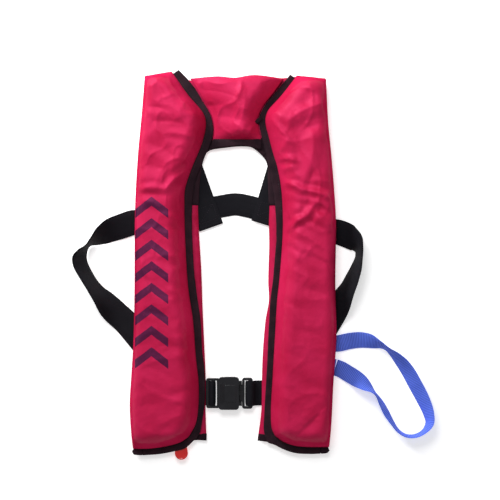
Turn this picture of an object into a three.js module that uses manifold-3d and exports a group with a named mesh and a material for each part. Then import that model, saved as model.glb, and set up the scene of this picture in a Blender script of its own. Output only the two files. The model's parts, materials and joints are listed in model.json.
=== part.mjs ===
// Inflatable life jacket lying flat on its back: a horseshoe cover folded round the bladder,
// opening flaps on both lobes and the collar, the inflator, and the harness with its buckle.
// Millimetres. X to the right, Y towards the collar, Z up off the ground. The origin is under
// the middle of the jacket, on the ground.
import * as THREE from 'three';
import { mergeVertices } from 'three/addons/utils/BufferGeometryUtils.js';
import Module from 'manifold-3d';

const manifold = await Module();
manifold.setup();

// Driving dimensions
const CLOTH = 1.4; // thickness of the coated cover cloth
const GAP = 0.3; // play between neighbouring pieces
const WEBBING_WIDTH = 38;
const WEBBING_THICK = 2;
const BELT_Z = 0; // underside of the waist belt
const STRAP_Z = BELT_Z + WEBBING_THICK + GAP; // harness straps lie on the belt
const BACK_Z = STRAP_Z + WEBBING_THICK + GAP; // back panel lies on the straps
const BACK_TOP = BACK_Z + 1.5;
const TAPE_Z = BACK_TOP + GAP; // loop tape sewn to the back panel
const TAPE_THICK = 0.9;
const TAPE_WIDTH = 7;
const HOOK_Z = TAPE_Z + TAPE_THICK + GAP; // hook tape sewn under the flaps
const FLAP_Z = HOOK_Z + TAPE_THICK + GAP; // lower edge of the flaps
const BINDING_THICK = 1.7;
const LOBE_TOP = 40;
const COLLAR_TOP = 33;
const ROUNDING = 14; // how far the lobe's rounded edge reaches in
const ROUNDING_DEPTH = 16; // how far it reaches down
const FOLD_GAP = 0.4; // slit between a flap and the fold it turns on
const BELOW = -60; // a level under everything, for cutters
const ABOVE = 120; // a level over everything
const AWAY = 300; // a distance past the cover's edge
const CYLINDER_RADIUS = 14; // 33 gram gas cylinder
const TUBE_RADIUS = 5.5; // oral inflation tube
const LIFTING_WEBBING_WIDTH = 25;

const jacket = new THREE.Group();

// Materials

const cloth = { color: 0xb01a40, roughness: 0.55, metalness: 0 };
const tape = { color: 0x1c1820, roughness: 0.9, metalness: 0 };
const webbing = { color: 0x17151c, roughness: 0.85, metalness: 0 };
const bladderCloth = { color: 0xe8c21a, roughness: 0.5, metalness: 0 };
const blackPlastic = { color: 0x0c0c0e, roughness: 0.35, metalness: 0 };
const redPlastic = { color: 0xc01018, roughness: 0.25, metalness: 0 };
const blueWebbing = { color: 0x2a34b4, roughness: 0.7, metalness: 0 };
const steel = { color: 0x9aa0a4, roughness: 0.3, metalness: 1 };
const silverTape = { color: 0xc8ccd0, roughness: 0.35, metalness: 0.2 };
const greenPlastic = { color: 0x1f9a3c, roughness: 0.4, metalness: 0 };
const orangePlastic = { color: 0xe8661a, roughness: 0.4, metalness: 0 };

// Geometry helpers

function place(name, geometry, finish) {
  const mesh = new THREE.Mesh(geometry, new THREE.MeshStandardMaterial(finish));
  mesh.name = name;
  jacket.add(mesh);
  return mesh;
}

function toSolid(geometry) {
  const bare = geometry.clone();
  bare.deleteAttribute('normal');
  bare.deleteAttribute('uv');
  const merged = mergeVertices(bare, 1e-4);
  return new manifold.Manifold(new manifold.Mesh({
    numProp: 3,
    vertProperties: new Float32Array(merged.attributes.position.array),
    triVerts: new Uint32Array(merged.index.array),
  }));
}

function toGeometry(solid) {
  const mesh = solid.getMesh();
  const geometry = new THREE.BufferGeometry();
  geometry.setAttribute('position', new THREE.BufferAttribute(mesh.vertProperties, 3));
  geometry.setIndex(new THREE.BufferAttribute(mesh.triVerts, 1));
  geometry.computeVertexNormals();
  return geometry;
}

const toPoints = (pairs) => pairs.map(([x, y]) => new THREE.Vector2(x, y));

// A flat piece with the given outline, from one level to another.
function plate(outline, bottom, top) {
  const shape = new THREE.Shape(toPoints(outline));
  return new THREE.ExtrudeGeometry(shape, { depth: top - bottom, bevelEnabled: false })
    .translate(0, 0, bottom);
}

// A flat piece from a shape with curves, starting at level 0.
function shapePlate(shape, thickness, curveSegments) {
  return new THREE.ExtrudeGeometry(shape, { depth: thickness, bevelEnabled: false, curveSegments });
}

// The line moved sideways by a distance, to the left of its direction, with mitred corners.
function offsetLine(line, distance) {
  const points = toPoints(line);
  const last = points.length - 1;
  return points.map((point, i) => {
    const before = point.clone().sub(points[Math.max(i - 1, 0)]).normalize();
    const after = points[Math.min(i + 1, last)].clone().sub(point).normalize();
    const along = (i === 0 ? after : i === last ? before : before.clone().add(after)).normalize();
    const normal = new THREE.Vector2(-along.y, along.x);
    const edge = i === last ? before : after;
    const mitre = distance / Math.max(normal.dot(new THREE.Vector2(-edge.y, edge.x)), 0.5);
    return [point.x + normal.x * mitre, point.y + normal.y * mitre];
  });
}

// A flat tape of even width along a line.
function strip(line, width, bottom, thickness) {
  const outline = [...offsetLine(line, width / 2), ...offsetLine(line, -width / 2).reverse()];
  return plate(outline, bottom, bottom + thickness);
}

// A cushion shape: straight sides up to a rounded top edge, inset evenly from the outline.
function pillow(outline, { top, bottom, reach, depth, inset = 0, segments = 3 }) {
  const shape = new THREE.Shape(toPoints(outline));
  return new THREE.ExtrudeGeometry(shape, {
    depth: top - bottom - 2 * depth,
    bevelSize: reach,
    bevelThickness: depth,
    bevelOffset: -reach - inset,
    bevelSegments: segments,
  }).translate(0, 0, bottom + depth);
}

function slab(bottom, top) {
  return toSolid(new THREE.BoxGeometry(4 * AWAY, 4 * AWAY, top - bottom)
    .translate(0, 0, (top + bottom) / 2));
}

function box([x0, y0, z0], [x1, y1, z1]) {
  return new THREE.BoxGeometry(x1 - x0, y1 - y0, z1 - z0)
    .translate((x0 + x1) / 2, (y0 + y1) / 2, (z0 + z1) / 2);
}

// A turned piece whose profile is radius and height, laid along Y from a base point.
function turnedAlongY(profile, [x, y, z], segments = 20) {
  return new THREE.LatheGeometry(toPoints(profile), segments).translate(x, y, z);
}

// The same, standing up along Z.
function turnedAlongZ(profile, [x, y, z], segments = 24) {
  return new THREE.LatheGeometry(toPoints(profile), segments).rotateX(Math.PI / 2).translate(x, y, z);
}

function cylinderAlongZ(radius, bottom, top, x, y, segments = 16) {
  return new THREE.CylinderGeometry(radius, radius, top - bottom, segments)
    .rotateX(Math.PI / 2)
    .translate(x, y, (top + bottom) / 2);
}

// A curve that carries its section level, without any roll.
class LevelPath extends THREE.CatmullRomCurve3 {
  computeFrenetFrames(steps) {
    const up = new THREE.Vector3(0, 0, 1);
    const tangents = Array.from({ length: steps + 1 }, (_, i) => this.getTangentAt(i / steps));
    const across = tangents.map((t) => t.clone().cross(up).normalize());
    const normals = tangents.map((t, i) => t.clone().cross(across[i]));
    const binormals = tangents.map((t, i) => t.clone().cross(normals[i]));
    return { tangents, normals, binormals };
  }
}

// A cord or strap along a route, with an eight-sided section.
function cord(route, acrossRoute, throughRoute, steps) {
  const sides = 8;
  const section = new THREE.Shape(Array.from({ length: sides }, (_, i) => {
    const angle = (i + 0.5) * 2 * Math.PI / sides;
    return new THREE.Vector2(throughRoute * Math.cos(angle), acrossRoute * Math.sin(angle));
  }));
  const path = new LevelPath(route.map((point) => new THREE.Vector3(...point)), false, 'centripetal');
  return new THREE.ExtrudeGeometry(section, { steps, extrudePath: path, bevelEnabled: false });
}

// Cover outlines. Each lobe's red edge runs from the top, down the middle opening and round the
// bottom; the outer edge runs from the bottom back up.

const leftRedEdge = [
  [-92, 291], [-67.5, 256.5], [-43.5, 227], [-40.5, 210], [-46.5, 183], [-62, 145], [-72, 114],
  [-73, 93], [-71, 22], [-67, -35], [-60, -83], [-55.5, -140], [-51.3, -180], [-52, -215],
  [-56, -240], [-67, -259.5], [-80, -268], [-102, -274], [-127, -277.5], [-148, -277],
];
const leftOuterEdge = [
  [-151, -260], [-154.5, -209], [-152, -165], [-149, -115], [-147.5, -45], [-147, 51],
  [-146, 100], [-142, 168], [-136.5, 227], [-132, 284],
];
const rightRedEdge = [
  [95.4, 285], [72, 255], [51, 231], [48, 216], [53, 194], [60.5, 166], [65.6, 150], [72, 116],
  [74.5, 74], [74, 40], [69, -25], [66, -52], [63, -102], [59, -172], [56.4, -225], [58, -247],
  [63, -258], [76, -267], [93, -273], [115, -275], [142, -275],
];
const rightOuterEdge = [
  [145, -260], [147, -240], [150, -180], [154.5, -108], [153, -26], [154, 65], [152, 103],
  [147, 166], [142.5, 212], [139, 280],
];
const collarOutline = [
  [-56, 279], [-39, 248], [-28, 216], [-28, 188], [40.5, 188], [36, 216], [40, 241], [67, 279],
  [30, 285], [3, 281], [-22, 283],
];

// Lines the flaps turn on, just inside the outer edge.
const leftFold = [[-121, 284], [-138, -277]];
const rightFold = [[128, 283], [134, -278]];
const collarFold = [[-70, 270], [80, 270]];

// A cover is a folded shell cut along its fold line: the outer wall stays with the back panel and
// the rest is the flap. The outward direction points from the fold line to the outer wall.
function cover(name, outline, { top, reach, depth, fold, outward }) {
  const outer = toSolid(pillow(outline, { top, bottom: BELOW, reach, depth }));
  const inner = toSolid(pillow(outline, {
    top: top - CLOTH, bottom: BELOW - CLOTH, reach, depth, inset: CLOTH,
  }));
  const shell = outer.subtract(inner);
  const away = outward.map((part) => part * AWAY);
  const farPoints = (line) => line.map(([x, y]) => [x + away[0], y + away[1]]);
  const reachOut = (line) => {
    const [a, b] = toPoints(line);
    const along = b.clone().sub(a).normalize().multiplyScalar(AWAY);
    return [[a.x - along.x, a.y - along.y], [b.x + along.x, b.y + along.y]];
  };
  const cutter = (line) => {
    const long = reachOut(line);
    return toSolid(plate([...long, ...farPoints(long).reverse()], BELOW - 20, ABOVE));
  };
  const slit = fold.map(([x, y]) => [x - outward[0] * FOLD_GAP, y - outward[1] * FOLD_GAP]);
  const wall = shell.intersect(cutter(fold)).intersect(slab(TAPE_Z, ABOVE));
  const flap = shell.subtract(cutter(slit)).intersect(slab(FLAP_Z, ABOVE));
  place(`${name}_cover_fold`, toGeometry(wall), cloth);
  place(`${name}_flap_panel`, toGeometry(flap), cloth);
}

function covers() {
  const lobe = { top: LOBE_TOP, reach: ROUNDING, depth: ROUNDING_DEPTH };
  cover('left', [...leftRedEdge, ...leftOuterEdge], { ...lobe, fold: leftFold, outward: [-1, 0] });
  cover('right', [...rightRedEdge, ...rightOuterEdge], { ...lobe, fold: rightFold, outward: [1, 0] });
  cover('collar', collarOutline, {
    top: COLLAR_TOP, reach: ROUNDING - 2, depth: ROUNDING_DEPTH - 2, fold: collarFold, outward: [0, 1],
  });
}

// Black tape folded round the flaps' free edges.
function bindings() {
  const leftFree = [
    [-82, 294], [-67.5, 279], [-54, 261], [-46.5, 247.5], [-37, 232.5], [-31, 215], [-30, 200],
    [-32, 189], [-39, 171], [-47, 153], [-58, 123], [-62, 80], [-59, -6.5], [-54.5, -45], [-49, -83],
    [-46.5, -129], [-43, -158], [-42.6, -205], [-46.5, -234], [-51, -255], [-60.5, -266],
    [-72, -276], [-89, -281], [-110, -285], [-136, -287],
  ];
  const rightFree = [
    [86, 287], [78, 277], [61.5, 257], [47, 239], [39, 222], [39, 213], [42, 198], [44, 187.5],
    [53, 153], [60, 116], [64, 80], [65, 32], [61, -16], [56, -54], [54.5, -83], [52.5, -131],
    [50, -172], [47, -225], [48.5, -266], [62, -270], [76, -278], [93, -283.5], [115, -285],
    [131, -284.5],
  ];
  const seamLeft = offsetLine([...leftRedEdge.slice(0, -1), [-136, -277.4]], FOLD_GAP);
  const seamRight = offsetLine([...rightRedEdge.slice(0, -1), [131, -275]], -FOLD_GAP);
  const top = FLAP_Z + BINDING_THICK;
  place('left_flap_binding', plate([...leftFree, ...seamLeft.reverse()], FLAP_Z, top), tape);
  place('right_flap_binding', plate([...rightFree, ...seamRight.reverse()], FLAP_Z, top), tape);
  const collarEdge = [
    [-29, 187.6], [40.3, 187.6], [42, 178], [26, 177.5], [13, 179.5], [-10, 177], [-33, 174.5],
  ];
  place('collar_flap_binding', plate(collarEdge, FLAP_Z, top), tape);
  const leftCorner = [[-137, -277.7], [-137, -287], [-148, -286.5], [-152, -283], [-151, -277.7]];
  const rightCorner = [[132, -275.4], [132, -284.5], [141.5, -284], [145, -281], [144, -275.4]];
  place('left_corner_binding', plate(leftCorner, TAPE_Z, top), tape);
  place('right_corner_binding', plate(rightCorner, TAPE_Z, top), tape);
}

// Hook and loop tape that hold the flaps shut.
function closures() {
  const runs = {
    left: [
      [-52, 155], [-60, 128], [-67, 93], [-66, 30], [-62, -30], [-55, -83], [-51, -140], [-47, -180],
      [-47.5, -215], [-52, -243], [-57, -255],
    ],
    right: [
      [57, 153], [64, 116], [69, 74], [69, 40], [64, -20], [60, -54], [57, -100], [54.5, -160],
      [52, -205], [52, -238], [56, -257], [66, -267], [84, -276], [110, -280], [130, -280],
    ],
    collar: [[-28, 183], [40, 183]],
  };
  for (const [side, run] of Object.entries(runs)) {
    place(`${side}_loop_tape`, strip(run, TAPE_WIDTH, TAPE_Z, TAPE_THICK), tape);
    place(`${side}_hook_tape`, strip(run, TAPE_WIDTH, HOOK_Z, TAPE_THICK), tape);
  }
}

// The horseshoe back panel that everything is sewn to.
function backPanel() {
  const outline = [
    [-129, 280], [-133, 227], [-139, 168], [-143.5, 112], [-143.5, 51], [-144, -45], [-147, -131],
    [-151, -209], [-149, -244], [-148, -283], [-110, -281], [-89, -277], [-70, -269], [-60, -264],
    [-40, -264], [-41.5, -219], [-41.5, -167], [-43.5, -121], [-46, -64], [-48, -6.5], [-51.6, 51],
    [-53, 90], [-50, 125], [-44, 150], [-37, 173], [-10, 175.5], [13, 178], [26, 176], [40, 173],
    [44, 155], [49, 125], [54, 90], [54, 61], [54.5, 32], [53, -25], [55, -54], [49, -83], [44.5, -140],
    [43.5, -172], [42.7, -218], [37, -264], [60, -268], [90, -281], [142, -283], [148, -225],
    [149, -173], [150, -108], [149, -26], [149.5, 65], [148, 103], [143, 166], [139, 212], [136, 276],
    [96, 284], [76, 282], [30, 284], [3, 280], [-22, 282], [-67, 279], [-82, 286],
  ];
  place('back_panel', plate(outline, BACK_Z, BACK_TOP), cloth);
}

// The folded buoyancy bladder under each cover, with silver reflective patches.
function bladders() {
  const options = { top: 36, bottom: TAPE_Z + GAP, reach: 8, depth: 8, segments: 2 };
  const left = [
    [-120, 272], [-98, 275], [-75, 250], [-54, 224], [-52, 206], [-60, 178], [-75, 145], [-84, 112],
    [-85, 60], [-82, -10], [-79, -44], [-116, -44], [-116, -262], [-143, -264], [-147, -209],
    [-142, -115], [-140, -45], [-140, 51], [-139, 100], [-134, 168], [-129, 227],
  ];
  const right = [
    [128, 268], [102, 271], [78, 248], [60, 228], [58, 214], [62, 196], [97, 190], [97, -128],
    [74, -134], [72, -172], [68, -225], [71, -248], [88, -261], [136, -264], [138, -240],
    [142, -180], [146, -108], [145, -26], [146, 65], [144, 103], [139, 166], [134, 212],
  ];
  const collar = [
    [-38, 266], [-25, 240], [-18, 214], [-18, 198], [31, 198], [26, 214], [29, 240], [48, 266],
  ];
  place('left_bladder', pillow(left, options), bladderCloth);
  place('right_bladder', pillow(right, options), bladderCloth);
  place('collar_bladder', pillow(collar, { ...options, top: 29 }), bladderCloth);
  const patchBottom = options.top + GAP;
  const patches = { left: [-128, -98], right: [107, 135] };
  for (const [side, [from, to]] of Object.entries(patches)) {
    const patch = box([from, 50, patchBottom], [to, 110, patchBottom + 0.6]);
    place(`${side}_reflective_patch`, patch, silverTape);
  }
}

// The manual and automatic inflator low in the left lobe, with its gas cylinder.
const INFLATOR = { x: -94, z: 22.5, front: -204 };
const LEVER_PIVOT = { x: -104, y: -246 };
const LEVER_LENGTH = 22;
const LEVER_Z = 9.2;
const LEVER_THICK = 3;

function inflator() {
  const { x, z, front } = INFLATOR;
  const bottom = 11;
  const bodyBlock = toSolid(pillow(
    [[x - 18, front - 34], [x + 18, front - 34], [x + 18, front], [x - 18, front]],
    { top: 33.5, bottom, reach: 3, depth: 3, segments: 2 },
  ));
  const lug = toSolid(box(
    [LEVER_PIVOT.x - 6, LEVER_PIVOT.y - 6, 12.6], [LEVER_PIVOT.x + 6, front - 30, 24],
  ));
  const bore = toSolid(turnedAlongY([[0, 0], [6.6, 0], [6.6, 20], [0, 20]], [x, front - 10, z]));
  const pinHole = toSolid(cylinderAlongZ(2.3, 0, 50, LEVER_PIVOT.x, LEVER_PIVOT.y));
  place('inflator_body', toGeometry(bodyBlock.add(lug).subtract(bore).subtract(pinHole)), blackPlastic);

  const disc = [[0, 0], [15, 0], [15, 1.6], [9, 3.6], [0, 3.6]];
  place('valve_manifold', turnedAlongZ(disc, [x, front - 18, TAPE_Z + GAP]), blackPlastic);
  place('indicator_clip', box([x - 4, front - 26, 33.8], [x + 6, front - 14, 36]), greenPlastic);

  const lever = new THREE.Shape()
    .absarc(0, 0, 5.5, Math.PI / 4, -Math.PI / 4, false)
    .lineTo(LEVER_LENGTH, -3.5)
    .absarc(LEVER_LENGTH, 0, 3.5, -Math.PI / 2, Math.PI / 2, false);
  lever.holes.push(new THREE.Path().absarc(0, 0, 2.3, 0, 2 * Math.PI, true));
  place('inflator_lever', shapePlate(lever, LEVER_THICK, 6)
    .translate(LEVER_PIVOT.x, LEVER_PIVOT.y, LEVER_Z), redPlastic);
  place('lever_pin', cylinderAlongZ(2, TAPE_Z + GAP, 24, LEVER_PIVOT.x, LEVER_PIVOT.y), steel);

  const r = CYLINDER_RADIUS;
  const profile = [
    [0, 0], [6, 0], [6, 9], [7.5, 13], [r - 1.5, 18], [r, 22], [r, 134], [r - 1.5, 139], [r - 5, 143],
    [0, 145],
  ];
  place('gas_cylinder', turnedAlongY(profile, [x, front - 7, z], 24), steel);
}

// The pull cord under the lever and the red tab that hangs below the cover.
function pullHandle() {
  const z = TAPE_Z + GAP + 1;
  const x = -80;
  place('pull_cord', cord([[x - 2, -245.8, z], [x - 1, -254, z], [x, -261.6, z]], 1, 1, 5), redPlastic);
  const tab = new THREE.Shape([new THREE.Vector2(-7, 0), new THREE.Vector2(7, 0)])
    .lineTo(10, -20)
    .absarc(0, -22, 10, 0, -Math.PI, true)
    .lineTo(-10, -20);
  place('pull_tab', shapePlate(tab, 2, 10).translate(x + 2, -262, z - 1), redPlastic);
}

// The mouth-inflation tube in the right lobe, with its valve, cap and whistle.
const TUBE = { x: 86.5, z: 16, base: 30 };

function oralTube() {
  const { x, z, base } = TUBE;
  const valveStart = base + 86;
  place('oral_tube_base', box([x - 7, base - 17, 8], [96.4, base - GAP, 25]), blackPlastic);
  const wall = [[3.5, 0], [TUBE_RADIUS, 0], [TUBE_RADIUS, 85.7], [3.5, 85.7], [3.5, 0]];
  place('oral_tube', turnedAlongY(wall, [x, base, z]), orangePlastic);
  const valve = [[3.6, 0], [7, 0], [7, 22], [3.6, 22], [3.6, 0]];
  place('oral_valve', turnedAlongY(valve, [x, valveStart, z]), blackPlastic);
  const plunger = [[0, 4], [3.2, 4], [3.2, 25], [0, 25]];
  place('valve_plunger', turnedAlongY(plunger, [x, valveStart, z]), redPlastic);
  const cap = [[7.4, 10], [9, 10], [9, 31], [0, 31], [0, 27], [7.4, 27], [7.4, 10]];
  place('oral_cap', turnedAlongY(cap, [x, valveStart, z]), blackPlastic);
}

function whistle() {
  const body = new THREE.Shape()
    .absarc(0, 0, 8, -Math.PI / 2, Math.PI, false)
    .lineTo(-8, -34)
    .lineTo(0, -34);
  body.holes.push(new THREE.Path().absarc(0, 0, 5, 0, 2 * Math.PI, true));
  place('whistle', shapePlate(body, 13, 8).translate(TUBE.x, -72, 9), orangePlastic);
  const lanyard = [
    [86, -63.5, 12], [87, -50, 9], [84, -34, 8.4], [89, -16, 8.4], [86, 0, 9.5], [86, 12.6, 12],
  ];
  place('whistle_lanyard', cord(lanyard, 1.3, 1.3, 24), webbing);
}

// Black waist belt and harness straps, flat against the ground side.
function harness() {
  const acrossBack = [
    [-146.5, 78], [-95, 92], [-45, 101], [-13, 107], [3, 108], [20, 107], [52, 99], [100, 84],
    [151.5, 69], [151.5, 31], [100, 46], [52, 60], [27, 69], [3, 76], [-17, 71], [-45, 64],
    [-95, 54], [-146.5, 50],
  ];
  place('waist_belt_back', plate(acrossBack, BELT_Z, BELT_Z + WEBBING_THICK), webbing);
  const leftStrap = [[-15, 63], [-51.2, 50], [-100, 187], [-64, 200]];
  const rightStrap = [[27, 67], [63.8, 55.8], [104, 189], [67, 200]];
  place('left_harness_strap', plate(leftStrap, STRAP_Z, STRAP_Z + WEBBING_THICK), webbing);
  place('right_harness_strap', plate(rightStrap, STRAP_Z, STRAP_Z + WEBBING_THICK), webbing);
  const frontLeft = [[-134, -120.7], [-125, -132], [-95, -164], [-65, -184], [-40, -192], [-26, -193.5]];
  const frontRight = [
    [136.2, -102], [132, -110.7], [115, -139], [92, -172], [70, -190], [48, -195],
  ];
  place('waist_belt_front_left', strip(frontLeft, WEBBING_WIDTH, BELT_Z, WEBBING_THICK), webbing);
  place('waist_belt_front_right', strip(frontRight, WEBBING_WIDTH, BELT_Z, WEBBING_THICK), webbing);
  const anchor = [
    [152, -107], [112, -112], [112, -150], [152, -167], [152, -143], [134, -136], [152, -131],
  ];
  place('lifting_loop_anchor', plate(anchor, STRAP_Z, STRAP_Z + WEBBING_THICK), blueWebbing);
}

// The parts of the belt and the lifting loop that lie free beside the jacket.
function freeLoops() {
  const left = [
    [-147.2, 64, 2.4], [-152, 63.8, 2.4], [-166, 59, 3], [-184.5, 52, 5], [-201, 43, 8], [-213, 35, 12],
    [-224, 24, 16], [-229, 12, 18], [-227, 1, 18], [-217, -12, 17], [-205, -30, 14], [-194, -47, 9],
    [-181, -62, 5], [-168, -78, 2.8], [-152, -98, 2.3], [-134.2, -120.4, 2.3],
  ];
  const right = [
    [152.2, 50, 2.4], [157, 49.8, 2.4], [166, 47, 3.2], [176, 42, 7], [185, 34.5, 13], [189, 24, 17],
    [189, 12, 18], [185, -3, 16], [178, -20, 11], [170, -38, 5], [162, -55, 2.6], [151, -75, 2.4],
    [136.4, -101.6, 2.4],
  ];
  const lifting = [
    [154, -119, 2.6], [159, -118.8, 2.6], [177, -115, 3], [192, -113.5, 3.5], [207, -115, 5],
    [222, -121, 7], [237, -130, 8], [250, -141, 8], [262, -157, 7], [273, -176, 6], [286, -200, 6],
    [295, -222, 8], [297, -238, 11], [289, -250, 13], [275, -257.5, 13], [260, -257.5, 13],
    [247, -250, 12], [238, -238, 9], [230, -223, 7], [222, -206, 6], [212, -192.5, 5],
    [199, -181.5, 4], [186, -171.5, 3.2], [173, -163.5, 2.8], [163, -157.6, 2.6], [154.4, -155, 2.6],
  ];
  place('left_side_belt', cord(left, 8, 1.6, 30), webbing);
  place('right_side_belt', cord(right, 8, 1.6, 26), webbing);
  place('lifting_loop', cord(lifting, LIFTING_WEBBING_WIDTH / 3, 1.8, 40), blueWebbing);
}

// Side-release buckle: the socket on the left, the plug with two sprung prongs on the right.
const BUCKLE = { y: -193.5, bottom: 2.4, top: 14.4 };

// A round-cornered frame plate, centred on the buckle's middle line.
function frameOutline(x0, x1, halfWidth, corner) {
  const shape = new THREE.Shape()
    .absarc(x1 - corner, halfWidth - corner, corner, 0, Math.PI / 2, false)
    .absarc(x0 + corner, halfWidth - corner, corner, Math.PI / 2, Math.PI, false)
    .absarc(x0 + corner, corner - halfWidth, corner, Math.PI, 1.5 * Math.PI, false)
    .absarc(x1 - corner, corner - halfWidth, corner, 1.5 * Math.PI, 2 * Math.PI, false);
  return shape;
}

function slot(x0, x1, halfWidth) {
  return new THREE.Path([
    new THREE.Vector2(x0, -halfWidth), new THREE.Vector2(x0, halfWidth),
    new THREE.Vector2(x1, halfWidth), new THREE.Vector2(x1, -halfWidth),
  ]);
}

function framePlate(outline, slots, bottom, top) {
  outline.holes.push(...slots);
  return shapePlate(outline, top - bottom, 4).translate(0, BUCKLE.y, bottom);
}

function buckle() {
  const { y, bottom, top } = BUCKLE;
  const housing = toSolid(framePlate(frameOutline(-22, 9, 24.5, 5), [], bottom, top));
  const ladder = toSolid(framePlate(
    frameOutline(-40.5, -20, 22.5, 3), [slot(-37, -33, 19.1), slot(-29.5, -24.5, 18.9)], bottom, 9.5,
  ));
  const pocket = toSolid(box([-17, y - 20.4, bottom + 2], [20, y + 20.4, top - 2]));
  const windows = toSolid(box([-13, y - 30, bottom + 2], [3, y + 30, top - 2]));
  place('buckle_socket', toGeometry(housing.add(ladder).subtract(pocket).subtract(windows)), blackPlastic);

  const plugFrame = frameOutline(13.5, 29.6, 23.3, 4);
  const base = toSolid(framePlate(plugFrame, [slot(17.5, 22.5, 19.7)], bottom, 10.4));
  const guide = toSolid(box([-12, y - 3, bottom + 2.6], [15, y + 3, top - 2.8]));
  place('buckle_plug', toGeometry(base.add(guide)), blackPlastic);
  const overBar = new THREE.Shape(toPoints([
    [18, 2.6], [18, 12.9], [32.1, 12.9], [32.1, 4.6], [62, 4.6], [62, 2.5], [29.9, 2.5],
    [29.9, 10.7], [20.2, 10.7], [20.2, 2.6],
  ]));
  place('plug_belt_end', shapePlate(overBar, WEBBING_WIDTH, 1)
    .rotateX(Math.PI / 2)
    .translate(0, y + WEBBING_WIDTH / 2, 0), webbing);

  for (const [name, side] of [['upper', 1], ['lower', -1]]) {
    const prong = new THREE.Shape(toPoints([
      [13.2, 12.5 * side], [13.2, 19 * side], [6, 18.5 * side], [3, 20 * side], [-9, 20 * side],
      [-13, 15 * side], [-9, 13 * side], [0, 14 * side],
    ]));
    place(`${name}_prong`, shapePlate(prong, 6.4, 1).translate(0, y, bottom + 2.7), blackPlastic);
  }
}

covers();
bindings();
closures();
backPanel();
bladders();
inflator();
pullHandle();
oralTube();
whistle();
harness();
freeLoops();
buckle();

export default jacket;
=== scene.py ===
"""Inflatable life jacket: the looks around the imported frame. Metres, in the frame's own axes."""

import json
import math

import bmesh
import bpy
import numpy as np
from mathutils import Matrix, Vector, noise
from mathutils.bvhtree import BVHTree
from mathutils.geometry import delaunay_2d_cdt


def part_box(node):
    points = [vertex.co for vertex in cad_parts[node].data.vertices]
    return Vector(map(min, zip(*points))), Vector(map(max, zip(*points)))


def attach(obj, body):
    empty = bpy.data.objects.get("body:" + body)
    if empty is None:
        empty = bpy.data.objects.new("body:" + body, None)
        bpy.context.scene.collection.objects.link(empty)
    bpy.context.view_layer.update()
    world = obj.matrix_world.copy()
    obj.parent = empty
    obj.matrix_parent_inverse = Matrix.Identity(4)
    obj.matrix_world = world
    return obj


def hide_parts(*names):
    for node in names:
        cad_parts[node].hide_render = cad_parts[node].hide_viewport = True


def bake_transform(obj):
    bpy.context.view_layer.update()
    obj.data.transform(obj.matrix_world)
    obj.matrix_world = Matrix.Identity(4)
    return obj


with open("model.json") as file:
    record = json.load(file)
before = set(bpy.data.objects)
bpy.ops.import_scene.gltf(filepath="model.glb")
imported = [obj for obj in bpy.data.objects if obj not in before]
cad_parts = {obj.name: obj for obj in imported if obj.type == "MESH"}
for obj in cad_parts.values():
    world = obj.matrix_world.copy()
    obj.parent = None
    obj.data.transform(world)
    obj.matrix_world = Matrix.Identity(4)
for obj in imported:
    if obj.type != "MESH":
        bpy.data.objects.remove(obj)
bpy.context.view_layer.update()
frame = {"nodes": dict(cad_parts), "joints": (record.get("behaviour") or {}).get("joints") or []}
NODES = frame["nodes"]
MM = 0.001

# Levels and sizes taken from the frame
BACK_LOW, BACK_TOP = (corner.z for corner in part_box("back_panel"))
BINDING_LOW, BINDING_TOP = (corner.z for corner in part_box("left_flap_binding"))
LOBE_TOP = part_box("left_flap_panel")[1].z
COLLAR_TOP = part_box("collar_flap_panel")[1].z
STRAP_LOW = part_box("left_harness_strap")[0].z
BUCKLE_LOW, BUCKLE_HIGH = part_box("buckle_socket")
BUCKLE_Y = (BUCKLE_LOW.y + BUCKLE_HIGH.y) / 2
WEBBING_WIDTH = 38 * MM
WEBBING_THICK = 2 * MM
BLUE_WIDTH = 25 * MM
# A flat strap's middle above what it lies on, with a little clearance
WEBBING_MIDDLE = WEBBING_THICK / 2 + 0.1 * MM


# Lines and meshes

def mm(points):
    return np.array(points, float) * MM


def unit(vectors):
    return vectors / np.linalg.norm(vectors, axis=-1)[..., None]


def along_line(line):
    """How far along a line each of its points is."""
    return np.concatenate([[0], np.cumsum(np.linalg.norm(np.diff(line[:, :3], axis=0), axis=1))])


def length_of(line):
    return float(along_line(line)[-1])


def resample(line, count):
    """Evenly spaced points along a line."""
    along = along_line(line)
    at = np.linspace(0, along[-1], count)
    return np.stack([np.interp(at, along, line[:, k]) for k in range(line.shape[1])], axis=1)


def curve_through(points, spacing):
    """A smooth line through the points, resampled at about the spacing."""
    chords = np.linalg.norm(np.diff(points[:, :3], axis=0), axis=1)
    knots = np.concatenate([[0], np.cumsum(np.sqrt(chords))])
    slopes = np.gradient(points, knots, axis=0)
    t = np.linspace(0, 1, 20, endpoint=False)[:, None]
    pieces = []
    for i, gap in enumerate(np.diff(knots)):
        pieces.append(
            (2 * t**3 - 3 * t**2 + 1) * points[i]
            + (t**3 - 2 * t**2 + t) * gap * slopes[i]
            + (3 * t**2 - 2 * t**3) * points[i + 1]
            + (t**3 - t**2) * gap * slopes[i + 1]
        )
    line = np.concatenate([*pieces, points[-1:]])
    return resample(line, max(int(length_of(line) / spacing), 4) + 1)


def looped(line):
    """A line closed by its own first point."""
    return np.concatenate([line, line[:1]])


def distance_to(points, line):
    """Each point's distance, in plan, to a line."""
    a, b = line[:-1, :2], line[1:, :2]
    along = b - a
    nearest = np.full(len(points), np.inf)
    for start, step in zip(a, along):
        share = ((points[:, :2] - start) @ step / max(step @ step, 1e-12)).clip(0, 1)
        gap = np.linalg.norm(points[:, :2] - start - share[:, None] * step, axis=1)
        nearest = np.minimum(nearest, gap)
    return nearest


def in_scene(name, data):
    obj = bpy.data.objects.new(name, data)
    bpy.context.scene.collection.objects.link(obj)
    return obj


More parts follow.
